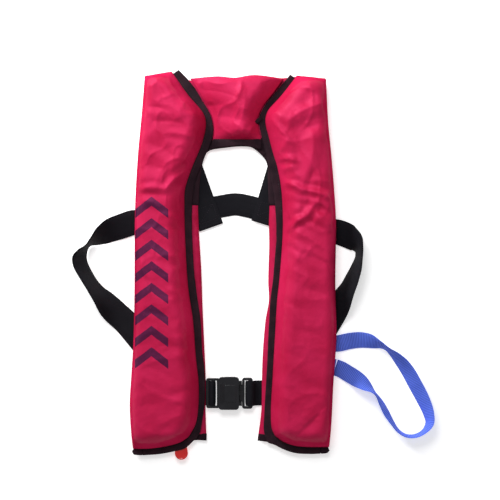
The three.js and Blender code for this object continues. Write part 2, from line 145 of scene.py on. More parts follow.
def make_object(name, points, faces, uvs=None):
    """A mesh object. uvs, when given, has one pair for each point."""
    mesh = bpy.data.meshes.new(name)
    mesh.from_pydata([tuple(p) for p in points], [], [tuple(f) for f in faces])
    mesh.validate()
    if uvs is not None:
        layer = mesh.uv_layers.new(name="UVMap")
        corners = np.zeros(len(mesh.loops), int)
        mesh.loops.foreach_get("vertex_index", corners)
        layer.data.foreach_set("uv", np.asarray(uvs, float)[corners].ravel())
    mesh.shade_smooth()
    return in_scene(name, mesh)


def outward(obj, join=False):
    """Turns every face of a closed mesh outward, after joining points that meet where asked."""
    edit = bmesh.new()
    edit.from_mesh(obj.data)
    if join:
        bmesh.ops.remove_doubles(edit, verts=edit.verts, dist=1e-6)
    bmesh.ops.recalc_face_normals(edit, faces=edit.faces)
    edit.to_mesh(obj.data)
    edit.free()
    return obj


def grid_faces(rows, columns, closed=False):
    """Quads over rows of points, where closed joins each row's last point to its first."""
    faces = []
    for i in range(rows - 1):
        for j in range(columns if closed else columns - 1):
            k = (j + 1) % columns
            faces.append((i * columns + j, i * columns + k, (i + 1) * columns + k, (i + 1) * columns + j))
    return faces


def closed_tube(name, points, count, uvs=None):
    """A capped tube through rings of points, with a count of points in each ring."""
    faces = grid_faces(len(points) // count, count, closed=True)
    faces.append(tuple(range(count)))
    faces.append(tuple(len(points) - 1 - k for k in range(count)))
    return outward(make_object(name, points, faces, uvs))


def add_modifier(obj, kind, **settings):
    modifier = obj.modifiers.new(kind.title(), kind)
    for key, value in settings.items():
        setattr(modifier, key, value)
    return modifier


def apply_modifiers(obj):
    graph = bpy.context.evaluated_depsgraph_get()
    mesh = bpy.data.meshes.new_from_object(obj.evaluated_get(graph))
    obj.modifiers.clear()
    obj.data = mesh
    return obj


def noise_at(points, scale, seed=0.0):
    """Smooth noise from -1 to 1 at each point."""
    spots = [(x * scale + seed, y * scale - seed, z * scale) for x, y, z in points]
    return np.array([noise.noise(Vector(spot)) for spot in spots])


# Materials

class Nodes:
    """A short way to build a material's node tree."""

    def __init__(self, name):
        self.material = bpy.data.materials.new(name)
        self.material.use_nodes = True
        self.tree = self.material.node_tree
        self.shader = self.tree.nodes["Principled BSDF"]

    def add(self, kind, inputs=None, **settings):
        node = self.tree.nodes.new(kind)
        for key, value in settings.items():
            setattr(node, key, value)
        for key, value in (inputs or {}).items():
            self.feed(node.inputs[key], value)
        return node

    def feed(self, socket, value):
        if isinstance(value, bpy.types.NodeSocket):
            self.tree.links.new(value, socket)
        else:
            socket.default_value = value

    def set(self, **values):
        for key, value in values.items():
            self.feed(self.shader.inputs[key.replace("_", " ")], value)

    def math(self, operation, a, b=0.0):
        node = self.add("ShaderNodeMath", operation=operation)
        self.feed(node.inputs[0], a)
        self.feed(node.inputs[1], b)
        return node.outputs[0]

    def noise(self, where, scale, detail=3.0, roughness=0.5):
        inputs = {"Vector": where, "Scale": scale, "Detail": detail, "Roughness": roughness}
        return self.add("ShaderNodeTexNoise", inputs).outputs["Fac"]

    def bands(self, where, period, direction):
        """Soft stripes from 0 to 1, a period apart along an axis."""
        inputs = {"Vector": where, "Scale": math.tau / (20 * period)}
        return self.add("ShaderNodeTexWave", inputs, bands_direction=direction).outputs["Fac"]

    def ramp(self, factor, low, high, dark, light):
        node = self.add("ShaderNodeValToRGB", {"Fac": factor})
        node.color_ramp.elements[0].position = low
        node.color_ramp.elements[1].position = high
        node.color_ramp.elements[0].color = (*dark, 1)
        node.color_ramp.elements[1].color = (*light, 1)
        return node.outputs["Color"]

    def mix(self, factor, a, b, blend="MIX"):
        node = self.add("ShaderNodeMix", data_type="RGBA", blend_type=blend)
        self.feed(node.inputs["Factor"], factor)
        self.feed(node.inputs["A"], a)
        self.feed(node.inputs["B"], b)
        return node.outputs["Result"]

    def bump(self, height, distance, strength=1.0, under=None):
        node = self.add("ShaderNodeBump", {"Height": height, "Distance": distance, "Strength": strength})
        if under is not None:
            self.feed(node.inputs["Normal"], under)
        return node.outputs["Normal"]

    def place(self, kind="Object"):
        return self.add("ShaderNodeTexCoord").outputs[kind]

    def axes(self, where):
        return self.add("ShaderNodeSeparateXYZ", {"Vector": where}).outputs


COVER_REDS = ((0.33, 0.003, 0.026), (0.47, 0.011, 0.058), (0.60, 0.020, 0.095))
LINING_REDS = ((0.20, 0.004, 0.020), (0.27, 0.007, 0.030), (0.34, 0.012, 0.042))
BLADDER_YELLOWS = ((0.62, 0.36, 0.01), (0.80, 0.52, 0.02), (0.90, 0.62, 0.05))
PRINT = (0.050, 0.010, 0.040)
PRINT_X = (-146 * MM, -96 * MM)
CHEVRON = 32 * MM
PRINT_Y = (-4.5 * CHEVRON, 3.5 * CHEVRON)
THREAD = 0.8 * MM


def woven_cloth(name, shades, printed=False, slack=0.0):
    """Coated nylon: a fine plain weave and soft mottling, with a sheen where it lies flat.
    The shades are dark, plain and light; slack is the depth of its loose wrinkles."""
    dark, base, light = shades
    n = Nodes(name)
    where = n.place()
    mottled = n.ramp(n.noise(where, 22.0, 4.0), 0.3, 0.72, dark, light)
    colour = n.mix(0.55, mottled, (*base, 1))
    threads = n.math("MULTIPLY", n.bands(where, THREAD, "X"), n.bands(where, THREAD, "Y"))
    colour = n.mix(n.math("MULTIPLY", threads, 0.10), colour, (*light, 1))
    roughness = n.math("MULTIPLY_ADD", n.noise(where, 60.0), 0.14)
    roughness.node.inputs[2].default_value = 0.38
    if printed:
        colour = n.mix(chevrons(n, where), colour, (*PRINT, 1))
    normal = n.bump(n.noise(where, 150.0, 2.0), 0.0009, 0.35)
    if slack:
        stretched = n.add("ShaderNodeMapping", {"Vector": where, "Scale": (34.0, 16.0, 34.0)}).outputs[0]
        normal = n.bump(n.noise(stretched, 1.0, 4.0, 0.55), slack, 0.8, normal)
    normal = n.bump(threads, 0.00015, 0.4, normal)
    facing = n.axes(n.place("Normal"))[2]
    shine = n.math("MULTIPLY", n.ramp(facing, 0.62, 0.93, (0,) * 3, (1,) * 3), 0.5)
    n.set(Base_Color=colour, Roughness=roughness, Normal=normal, Specular_IOR_Level=shine)
    n.set(Specular_Tint=(1.0, 0.14, 0.38, 1))
    return n.material


def chevrons(n, where):
    """A plain printed pattern of stacked chevrons down one lobe, from 0 to 1."""
    x, y, z = n.axes(where)
    middle = (PRINT_X[0] + PRINT_X[1]) / 2
    half = (PRINT_X[1] - PRINT_X[0]) / 2
    aside = n.math("ABSOLUTE", n.math("SUBTRACT", x, middle))
    wobble = n.math("MULTIPLY", n.noise(where, 90.0), 0.0016)
    height = n.math("ADD", n.math("ADD", y, n.math("MULTIPLY", aside, 0.75)), wobble)
    turn = n.math("PINGPONG", height, CHEVRON / 2)
    bars = n.math("LESS_THAN", turn, CHEVRON * 0.21)
    inside = n.math("LESS_THAN", aside, half)
    low = n.math("GREATER_THAN", height, PRINT_Y[0])
    high = n.math("LESS_THAN", height, PRINT_Y[1])
    top = n.math("GREATER_THAN", z, BINDING_TOP)
    worn = n.ramp(n.noise(where, 260.0, 3.0), 0.26, 0.36, (0.78,) * 3, (0.96,) * 3)
    mask = bars
    for part in (inside, low, high, top, worn):
        mask = n.math("MULTIPLY", mask, part)
    return mask


def binding_tape():
    """Black grosgrain tape with ribs across it."""
    n = Nodes("binding_tape")
    where = n.place("UV")
    ribs = n.bands(where, 1.1 * MM, "X")
    fuzz = n.noise(n.place(), 900.0, 2.0)
    colour = n.ramp(n.noise(n.place(), 60.0), 0.3, 0.7, (0.009, 0.002, 0.006), (0.024, 0.007, 0.013))
    normal = n.bump(fuzz, 0.0004, 0.3, n.bump(ribs, 0.0003, 0.6))
    n.set(Base_Color=colour, Roughness=0.8, Normal=normal, Specular_IOR_Level=0.2)
    return n.material


def webbing(name, dark, light, rib):
    """Woven webbing: ribs across it, rows of picks along it and firmer edges."""
    n = Nodes(name)
    where = n.place("UV")
    ribs = n.bands(where, rib, "X")
    rows = n.bands(where, 1.3 * MM, "Y")
    picks = n.math("ADD", n.math("MULTIPLY", ribs, 0.75), n.math("MULTIPLY", rows, 0.25))
    colour = n.ramp(picks, 0.1, 0.9, dark, light)
    tone = n.ramp(n.noise(n.place(), 35.0), 0.3, 0.7, (0.86,) * 3, (1.0,) * 3)
    colour = n.mix(1.0, colour, tone, "MULTIPLY")
    normal = n.bump(ribs, 0.0004, 0.7, n.bump(rows, 0.0002, 0.5))
    n.set(Base_Color=colour, Roughness=0.7, Normal=normal, Specular_IOR_Level=0.12)
    return n.material


def plastic(name, dark, light, rough, grain=0.00005, coat=0.0):
    """Moulded plastic: a fine grain, slight colour variation and faint scuffs."""
    n = Nodes(name)
    where = n.place()
    colour = n.ramp(n.noise(where, 45.0, 4.0), 0.3, 0.7, dark, light)
    scuffs = n.math("MULTIPLY", n.noise(where, 320.0, 5.0, 0.7), 0.22)
    roughness = n.math("ADD", scuffs, rough - 0.11)
    normal = n.bump(n.noise(where, 2600.0, 2.0), grain, 0.4)
    n.set(Base_Color=colour, Roughness=roughness, Normal=normal, Coat_Weight=coat, Coat_Roughness=0.08)
    return n.material


def metal(name, dark, light, rough):
    """Drawn steel with faint lines along Y."""
    n = Nodes(name)
    where = n.add("ShaderNodeMapping", {"Vector": n.place(), "Scale": (900.0, 30.0, 900.0)}).outputs[0]
    lines = n.noise(where, 1.0, 3.0)
    colour = n.ramp(lines, 0.3, 0.7, dark, light)
    roughness = n.math("ADD", n.math("MULTIPLY", lines, 0.15), rough - 0.07)
    n.set(Base_Color=colour, Roughness=roughness, Metallic=1.0, Normal=n.bump(lines, 0.0001, 0.3))
    return n.material


def reflective():
    """Silver reflective tape with a fine hexagonal cell pattern."""
    n = Nodes("silver_tape")
    inputs = {"Vector": n.place(), "Scale": 380.0, "Randomness": 0.1}
    cells = n.add("ShaderNodeTexVoronoi", inputs, feature="DISTANCE_TO_EDGE").outputs["Distance"]
    colour = n.ramp(cells, 0.02, 0.10, (0.42, 0.44, 0.46), (0.78, 0.80, 0.82))
    normal = n.bump(cells, 0.0003, 0.5)
    n.set(Base_Color=colour, Roughness=0.32, Metallic=0.35, Normal=normal)
    return n.material


def pile(name, colour_a, colour_b):
    """Hook or loop tape: a dense short pile."""
    n = Nodes(name)
    where = n.place()
    tufts = n.add("ShaderNodeTexVoronoi", {"Vector": where, "Scale": 900.0}).outputs["Distance"]
    colour = n.ramp(tufts, 0.1, 0.7, colour_b, colour_a)
    n.set(Base_Color=colour, Roughness=0.95, Normal=n.bump(tufts, 0.0006, 0.8), Specular_IOR_Level=0.2)
    return n.material


MATERIALS = {
    "cover_cloth": woven_cloth("cover_cloth", COVER_REDS),
    "printed_cloth": woven_cloth("printed_cloth", COVER_REDS, printed=True),
    "cover_lining": woven_cloth("cover_lining", LINING_REDS),
    "bladder_cloth": woven_cloth("bladder_cloth", BLADDER_YELLOWS, slack=6 * MM),
    "binding_tape": binding_tape(),
    "black_webbing": webbing("black_webbing", (0.003, 0.003, 0.005), (0.009, 0.009, 0.013), 1.5 * MM),
    "blue_webbing": webbing("blue_webbing", (0.070, 0.120, 0.58), (0.150, 0.250, 1.0), 2.4 * MM),
    "black_plastic": plastic("black_plastic", (0.004, 0.004, 0.006), (0.010, 0.010, 0.013), 0.34),
    "red_plastic": plastic("red_plastic", (0.70, 0.010, 0.010), (0.90, 0.018, 0.014), 0.20, coat=1.0),
    "orange_plastic": plastic("orange_plastic", (0.70, 0.13, 0.01), (0.85, 0.20, 0.02), 0.36),
    "green_plastic": plastic("green_plastic", (0.01, 0.28, 0.05), (0.03, 0.42, 0.09), 0.34),
    "steel": metal("steel", (0.36, 0.38, 0.40), (0.58, 0.60, 0.62), 0.30),
    "silver_tape": reflective(),
    "hook_loop": pile("hook_loop", (0.022, 0.020, 0.024), (0.004, 0.004, 0.005)),
    "black_cord": pile("black_cord", (0.030, 0.030, 0.034), (0.008, 0.008, 0.010)),
    "thread": pile("thread", (0.045, 0.032, 0.045), (0.020, 0.014, 0.022)),
}


def dress(obj, slot, body, *nodes, look=None):
    """Gives a new piece the slot's material, its body and the nodes that it stands for, which it hides.
    look names the material where it isn't the slot's own."""
    obj.data.materials.clear()
    obj.data.materials.append(MATERIALS[look or slot])
    if body:
        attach(obj, body)
    if nodes:
        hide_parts(*nodes)
    return obj


# Camera, light and floor

VIEW_CENTRE = Vector((25.5 * MM, 22.5 * MM, 20 * MM))
VIEW_HEIGHT = 2.2
VIEW_WIDTH = 0.75
FLOOR_REACH = 6.0


def camera():
    data = bpy.data.cameras.new("camera")
    data.lens = data.sensor_width * VIEW_HEIGHT / VIEW_WIDTH
    eye = in_scene("camera", data)
    eye.location = VIEW_CENTRE + Vector((0, 0, VIEW_HEIGHT))
    bpy.context.scene.camera = eye


def area_light(name, place, size, power):
    """A square light aimed at the origin, with its size in metres and its power in watts."""
    data = bpy.data.lights.new(name, "AREA")
    data.size = size
    data.energy = power
    lamp = in_scene(name, data)
    lamp.location = place
    lamp.rotation_euler = (-Vector(place)).to_track_quat("-Z", "Y").to_euler()


def floor():
    corners = [(x * FLOOR_REACH, y * FLOOR_REACH, 0) for x, y in ((-1, -1), (1, -1), (1, 1), (-1, 1))]
    obj = make_object("floor", corners, [(0, 1, 2, 3)])
    n = Nodes("floor")
    n.set(Base_Color=n.ramp(n.noise(n.place(), 3.0), 0.3, 0.7, (0.90,) * 3, (0.93,) * 3), Roughness=0.9)
    n.set(Emission_Color=(1, 1, 1, 1), Emission_Strength=0.5)
    obj.data.materials.append(n.material)
    obj.location.z = -0.2 * MM


def lights():
    """A white world and three soft lights; the key comes from the head end, over the left lobe."""
    bpy.context.scene.view_settings.view_transform = "Standard"
    world = bpy.data.worlds.new("lights")
    world.use_nodes = True
    backdrop = world.node_tree.nodes["Background"].inputs
    backdrop["Color"].default_value = (1, 1, 1, 1)
    backdrop["Strength"].default_value = 0.24
    bpy.context.scene.world = world
    area_light("key", (-0.85, 1.22, 0.64), 0.4, 28)
    area_light("top", (-0.15, 0.70, 1.15), 0.5, 9)
    area_light("fill", (1.0, -1.4, 1.6), 1.4, 4.5)


# Webbing

def ribbon(name, centre, roll, width, thick, crown=0.12):
    """Webbing along a line of points, rolled about it by an angle at each, with soft firm edges."""
    section = []
    for side in (1, -1):
        for share in np.linspace(-1, 1, 9) * side:
            edge = (1 - abs(share) ** 6) ** 0.5
            section.append((share, side * (0.5 * edge + crown * (1 - share**2) * 0.2)))
    section = np.array(section)
    tangents = unit(np.gradient(centre, axis=0))
    level = unit(np.cross(tangents, (0, 0, 1)))
    upward = np.cross(level, tangents)
    turn = np.radians(roll)[:, None]
    across = np.cos(turn) * level + np.sin(turn) * upward
    out = np.cos(turn) * upward - np.sin(turn) * level
    points, uvs = [], []
    for i, (middle, gone) in enumerate(zip(centre, along_line(centre))):
        for share, lift in section:
            points.append(middle + across[i] * share * width / 2 + out[i] * lift * thick)
            uvs.append((gone, share * width / 2))
    return closed_tube(name, points, len(section), uvs)


def strap(name, points, width, slot, body, *nodes, spacing=3 * MM):
    """A strap through points of x, y, z in millimetres and roll in degrees."""
    line = curve_through(np.array(points, float) * (MM, MM, MM, 1), spacing)
    obj = ribbon(name, line[:, :3], line[:, 3], width, WEBBING_THICK)
    return dress(obj, slot, body, *nodes), line[:, :3]


def resting(route, width):
    """The route with a level for each x, y and roll, so that the lower edge of the webbing lies on the floor.
    A point may add how far it is lifted clear of the floor."""
    points = []
    for x, y, roll, *lift in route:
        level = WEBBING_MIDDLE + width / 2 * abs(math.sin(math.radians(roll)))
        points.append((x, y, level / MM + sum(lift), roll))
    return points


# Routes of the free loops from end to end, as x, y, roll and, for some points, how far they are lifted
LEFT_BELT = [
    (-147.2, 64, 0, 1.2), (-152, 63.8, 3, 1.2), (-166, 59, 8, 0.8), (-184, 52.5, 22), (-199, 44.5, 48),
    (-210, 36, 72), (-218, 29, 84), (-226, 21, 74), (-230.5, 12, 62), (-229, 1, 60), (-222, -13, 62),
    (-211.5, -30, 62), (-200, -46, 52), (-189, -60, 28), (-177, -73, 8), (-164, -85, 0, 0.4),
    (-150, -101, 0, 0.6), (-134.2, -120.4, 0, 0.2), (-122, -135.5, 0), (-95, -162, 0), (-65, -184, 0),
    (-49, -192, 0), (-41, BUCKLE_Y / MM, 0, 0.5),
]
RIGHT_BELT = [
    (152.2, 50, 0, 1.2), (157, 49.8, -3, 1.2), (166, 47, -8, 0.8), (176, 42, -22), (185, 34.5, -50),
    (189, 24, -72), (189, 12, -76), (185.5, -3, -68), (179, -20, -60), (171, -38, -52), (162, -56, -30),
    (151, -76, -6, 0.6), (136.4, -101.6, 0, 0.3), (126, -121, 0), (112, -143.5, 0), (92, -172, 0),
    (70, -190, 0), (48, -195, 0),
]
LIFTING_LOOP = [
    (154, -119, 0, 1.4), (159, -118.8, 0, 1.4), (177, -115, -6, 0.6), (192, -113.5, -14), (207, -115, -30),
    (221, -120, -62), (232, -126.5, -74), (243, -135, -62), (254, -147, -46), (264, -161, -38),
    (275, -181, -36), (286, -202, -40), (294, -222, -52), (296, -238, -66), (288, -250, -80),
    (275, -257, -84), (261, -257, -84), (249, -250, -80), (240, -238, -74), (231, -223, -66),
    (222.5, -207, -70), (213, -192.5, -82), (200, -182, -48), (187, -172.5, -16), (174, -164.5, -4, 0.6),
    (163, -158, 0, 1.4), (154.4, -155, 0, 1.4),
]


def at_buckle(route):
    """Points of a strap in line with the buckle, from their x and z."""
    return [(x, BUCKLE_Y / MM, z, 0) for x, z in route]


def free_loops():
    """The two front halves of the belt, each with its free loop, and the blue lifting loop."""
    over_bar = at_buckle([(-37.4, 4.5), (-35.3, 9.2), (-31.2, 11.2), (-28.4, 9), (-27, 4.2)])
    left = resting(LEFT_BELT, WEBBING_WIDTH) + over_bar
    right, lifting = resting(RIGHT_BELT, WEBBING_WIDTH), resting(LIFTING_LOOP, BLUE_WIDTH)
    black, blue = (WEBBING_WIDTH, "black_webbing"), (BLUE_WIDTH, "blue_webbing")
    loops = {
        "left_belt_webbing": (left, *black, ("left_side_belt", "waist_belt_front_left")),
        "right_belt_webbing": (right, *black, ("right_side_belt", "waist_belt_front_right")),
        "lifting_loop_webbing": (lifting, *blue, ("lifting_loop",)),
    }
    for name, (route, width, slot, nodes) in loops.items():
        obj, line = strap(name, route, width, slot, "root", *nodes, spacing=2 * MM)


def flat(route, ground):
    """A flat strap's points, lying on the ground's level."""
    return [(x, y, (ground + WEBBING_MIDDLE) / MM, 0) for x, y in route]


def belts():
    """The parts of the belt and harness that lie against the jacket."""
    route = [(-146, 64), (-120, 68), (-95, 73), (-45, 83), (-15, 89), (3, 91.5), (20, 89), (52, 80), (100, 65),
             (130, 56), (151, 50)]
    strap("waist_belt_back_webbing", flat(route, 0), 34 * MM, "black_webbing", "root", "waist_belt_back")
    for side, top, bottom in (("left", (-82, 193.5), (-33, 56.5)), ("right", (85.5, 194.5), (45.5, 61.5))):
        route = [np.array(top) + (np.array(bottom) - top) * t for t in (0, 0.3, 0.6, 1)]
        strap(f"{side}_harness_webbing", flat(route, STRAP_LOW), WEBBING_WIDTH, "black_webbing", "root",
              f"{side}_harness_strap")
    route = [(62, 3.2), (50, 3.2), (38, 3.4), (33, 5.5), (30.8, 9.6), (27.5, 11.8), (23.5, 11.8), (20.4, 9.4),
             (19.2, 4.2)]
    plug, _ = strap("plug_webbing", at_buckle(route), WEBBING_WIDTH, "black_webbing", None, "plug_belt_end",
                    spacing=1.2 * MM)
    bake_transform(plug)
    upper = [(153.5, -119, 2.9, 0), *flat([(146, -120.5), (132, -124), (114, -130)], STRAP_LOW)]
    lower = [(153.9, -155, 2.9, 0), *flat([(146, -153), (134, -146), (118, -135)], STRAP_LOW)]
    strap("lifting_anchor_upper", upper, BLUE_WIDTH, "blue_webbing", "root", "lifting_loop_anchor")
    strap("lifting_anchor_lower", lower, BLUE_WIDTH, "blue_webbing", "root")


# Cover

# Rows of a cover's wall from its rim down: how far out each lies, and its share of the rim's height
WALL = [(0.8 * MM, 0.62), (1.2 * MM, 0.28), (-0.4 * MM, 0.06), (-3.4 * MM, 0.0)]
WALL_FOOT = 6.9 * MM
CLOTH_THICK = 1.1 * MM
RISE_CAP = 5.0 * MM
SINK_CAP = 2.2 * MM
# Folds are weaker below these levels in Y
CALM_BELOW = {"left": -20 * MM, "right": 5 * MM}
# One broad bump in the right lobe: its middle, its reach in X and Y, and its height
BUMP_SPOT, BUMP_REACH, BUMP_HEIGHT = mm((80, 30)), mm((7, 16)), 4 * MM

# Lines in plan round each part of the red cover: along its binding, at its foot and at its outer edge
LEFT_RED = mm([
    (-92, 291), (-67.5, 256.5), (-43.5, 227), (-40.5, 210), (-46.5, 183), (-62, 145), (-72, 114),
    (-73, 93), (-71, 22), (-67, -35), (-60, -83), (-55.5, -140), (-51.3, -180), (-52, -215),
    (-56, -240), (-67, -259.5),
])
LEFT_FOOT = mm([(-150, -277.5), (-127, -277.5), (-102, -274), (-80, -268), (-67, -259.5)])
LEFT_OUTER = mm([
    (-132, 284), (-136.5, 227), (-142, 168), (-146, 100), (-147, 51), (-147.5, -45), (-149, -115),
    (-152, -165), (-154.5, -209), (-152.5, -250), (-150, -277.5),
])
RIGHT_RED = mm([
    (95.4, 285), (72, 255), (51, 231), (48, 216), (53, 194), (60.5, 166), (65.6, 150), (72, 116),
    (74.5, 74), (74, 40), (69, -25), (66, -52), (63, -102), (59, -172), (56.4, -225), (58, -247), (63, -258),
])
RIGHT_FOOT = mm([(144, -275), (130, -275), (115, -275), (93, -273), (76, -267), (63, -258)])
RIGHT_OUTER = mm([
    (139, 280), (142.5, 212), (147, 166), (152, 103), (154, 65), (153, -26), (154.5, -108), (150, -180),
    (147, -240), (144, -275),
])
COLLAR_LEFT = mm([
    (-64, 280), (-51.5, 261), (-44, 247), (-35.5, 232.5), (-29.6, 215), (-28.8, 200), (-30.5, 188.5),
])
COLLAR_RIGHT = mm([(76, 280), (60, 258), (45.8, 240), (37.8, 222), (37.8, 213), (40.5, 198), (42.5, 188.5)])
COLLAR_HEAD = mm([(-64, 280), (-22, 283), (3, 281), (30, 285), (76, 280)])
COLLAR_FOOT = mm([(-30.5, 188.5), (4, 188.5), (42.5, 188.5)])

# The larger folds: from x, y to x, y, then width and height, in millimetres
LEFT_FOLDS = [
    (-124, 236, -96, 228, 5, -1.8), (-118, 214, -62, 206, 6, -2.2), (-104, 196, -54, 188, 4, 1.6),
    (-130, 182, -84, 160, 6, -1.8), (-92, 176, -58, 168, 4, -1.4), (-140, 150, -98, 140, 7, -1.6),
    (-144, 112, -96, 112, 4, 2.2), (-142, 104, -100, 103, 5, -1.8), (-100, 113, -66, 142, 4, 2.6),
    (-92, 106, -66, 128, 5, -2.2), (-132, 96, -104, 84, 5, 1.4), (-108, 76, -76, 64, 4, 2.2),
    (-112, 56, -74, 50, 4, -1.8), (-100, 66, -78, 58, 3, 1.3), (-140, 40, -92, 24, 7, -1.3),
    (-118, 8, -76, -6, 5, -1.3), (-140, -18, -96, -40, 8, -1.2), (-100, -36, -70, -48, 4, 1.5),
    (-132, -70, -82, -82, 6, -1.2), (-146, -112, -112, -96, 6, 1.2), (-108, -120, -64, -128, 6, -1.3),
    (-140, -150, -92, -168, 7, -1.2), (-96, -196, -62, -186, 5, -1.2), (-146, -214, -108, -206, 7, -1.1),
    (-104, -236, -72, -222, 6, 1.1), (-120, -270, -96, -240, 6, -1.3), (-74, 248, -56, 216, 6, 1.6),
    (-88, 276, -74, 244, 6, -1.4), (-116, 274, -104, 248, 6, -1.2),
]
RIGHT_FOLDS = [
    (80, 214, 142, 243, 8, 5.5), (96, 196, 148, 214, 8, -4.5), (118, 198, 112, 140, 9, 6),
    (66, 158, 98, 154, 4, 3.4), (68, 141, 94, 146, 4, 3.2), (74, 123, 104, 111, 4, 5),
    (102, 112, 151, 97, 4, 5.5), (80, 52, 112, 74, 4, 5.5), (111, 74, 123, 91, 4.5, 5),
    (123, 91, 145, 76, 5, -4.5),
    (112, 98, 120, 140, 4, -1.8), (110, 98, 142, 84, 4, 1.8), (82, 96, 138, 74, 5, -2.2),
    (80, 74, 118, 56, 4, 2.0), (102, 68, 146, 44, 5, -1.6), (84, 52, 134, 26, 5, 2.3),
    (78, 30, 104, 14, 4, -1.8), (112, 14, 150, -6, 6, -1.6), (76, -4, 122, -26, 6, 1.5),
    (104, -34, 150, -52, 7, -1.2), (72, -54, 108, -70, 5, -1.1), (96, -96, 148, -116, 8, -1.1),
    (70, -130, 116, -146, 7, -1.0), (135, -211, 93, -255, 6, -2.2), (66, -196, 100, -208, 7, 1.0),
    (104, -176, 144, -190, 8, -0.9), (74, 246, 98, 216, 7, -1.5), (92, 270, 108, 238, 6, -1.3),
    (120, 262, 134, 226, 7, 1.3), (60, 222, 84, 196, 6, -1.3),
]
COLLAR_FOLDS = [
    (-46, 262, 8, 250, 6, -1.2), (-4, 272, 50, 258, 6, -1.0), (-30, 224, 20, 214, 6, -1.2),
    (2, 236, 40, 226, 5, 0.9), (-26, 204, 10, 198, 5, -0.9), (14, 206, 38, 200, 5, -0.8),
    (-52, 274, -40, 248, 5, -0.9), (52, 274, 40, 244, 5, -0.9), (18, 262, 6, 200, 7, 1.4),
]


def patch(head, foot, first, second, rows, columns):
    """Rows of plan points that fill the space between four lines, closer together toward its edges."""

    def shares(count, crowding):
        even = np.linspace(0, 1, count)
        return (1 - crowding) * even + crowding * (1 - np.cos(np.pi * even)) / 2

    def at(line, where):
        fine = resample(line, 600)
        return np.stack([np.interp(where, np.linspace(0, 1, 600), fine[:, k]) for k in (0, 1)], axis=1)

    u, v = shares(rows, 0.2), shares(columns, 0.45)
    top, bottom, near, far = at(head, v), at(foot, v), at(first, u), at(second, u)
    u, v = u[:, None, None], v[None, :, None]
    corners = (1 - u) * ((1 - v) * top[0] + v * top[-1]) + u * ((1 - v) * bottom[0] + v * bottom[-1])
    return (1 - v) * near[:, None] + v * far[:, None] + (1 - u) * top[None] + u * bottom[None] - corners


def rise(distance, reach):
    """From 0 at an edge to 1 at the reach, rounding over."""
    return np.sin(np.pi / 2 * np.clip(distance / reach, 0, 1))


def round_rise(distance, reach):
    """The same along a quarter circle, which starts upright."""
    share = 1 - np.clip(distance / reach, 0, 1)
    return np.sqrt(1 - share**2)


def creases(points, folds):
    """Heights in metres from folds, each a slightly bowed ridge or dip that fades at its ends."""
    total = np.zeros(len(points))
    for x0, y0, x1, y1, width, height in folds:
        a, b = mm((x0, y0)), mm((x1, y1))
        step = b - a
        share = (points[:, :2] - a) @ step / (step @ step)
        inside = share.clip(0, 1)
        bow = 0.06 * np.sin(np.pi * inside)[:, None] * np.array((-step[1], step[0]))
        gap = np.linalg.norm(points[:, :2] - a - inside[:, None] * step - bow, axis=1) / (width * MM)
        fade = np.sin(np.pi * np.clip(inside * 0.86 + 0.07, 0, 1)) ** 0.6
        past = np.linalg.norm(step) * np.abs(share - inside)
        profile = np.exp(-gap * 1.3) - 0.35 * np.exp(-((gap - 2.2) ** 2))
        total += height * MM * profile * fade * np.exp(-((past / (width * MM)) ** 2))
    return total


def crumple(points, cell, sharpness, seed):
    """A network of ridges, like cloth that has been folded: 1 on a ridge and 0 away from it."""
    warp = np.stack([noise_at(points, 11, seed + k) for k in (11, 23, 37)], axis=1) * 0.35 * cell
    return np.exp(-np.abs(noise_at(points + warp, 1 / cell, seed)) * sharpness)


def relief(points, folds, seed, calm_below):
    """Everything that makes the cover's surface uneven, in metres: less of it below a level line in Y."""
    lively = 0.35 + 0.65 / (1 + np.exp(-(points[:, 1] - calm_below) / (25 * MM)))
    swell = 0.0018 * noise_at(points, 12, seed)
    broad = 0.0026 * (crumple(points, 62 * MM, 9, seed) - 0.25)
    narrow = 0.0013 * (crumple(points, 27 * MM, 8, seed + 5) - 0.25)
    fine = 0.00025 * noise_at(points, 110, seed + 7)
    return (swell + broad + narrow) * lively + fine + creases(points, folds)


def uneven(grid, edge_distance, seed, folds, calm_below=-1.0):
    """The grid with its surface relief, which fades out toward the seams."""
    base = grid.reshape(-1, 3)
    height = relief(base, folds, seed, calm_below)
    cap = np.where(height > 0, RISE_CAP, SINK_CAP)
    height = np.tanh(height / cap) * cap
    moved = base.copy()
    moved[:, 2] += height * (1 - np.exp(-((edge_distance / (6 * MM)) ** 2)))
    return moved.reshape(grid.shape)


def with_wall(grid):
    """Adds the cover's wall, row by row outward from the grid's first row."""
    rim = grid[:1]
    away = unit((rim - grid[2:3]) * (1, 1, 0))
    for out, share in WALL:
        row = rim + away * out
        row[..., 2] = WALL_FOOT + (rim[..., 2] - WALL_FOOT) * share
        grid = np.concatenate([row, grid])
    return grid


def cover_object(name, grid, flip, look):
    faces = grid_faces(*grid.shape[:2])
    if flip:
        faces = [face[::-1] for face in faces]
    obj = make_object(name, grid.reshape(-1, 3), faces)
    add_modifier(obj, "SOLIDIFY", thickness=CLOTH_THICK, offset=-1, material_offset=1)
    add_modifier(obj, "SUBSURF", levels=1, render_levels=1)
    obj.data.materials.append(MATERIALS[look])
    obj.data.materials.append(MATERIALS["cover_lining"])
    return obj


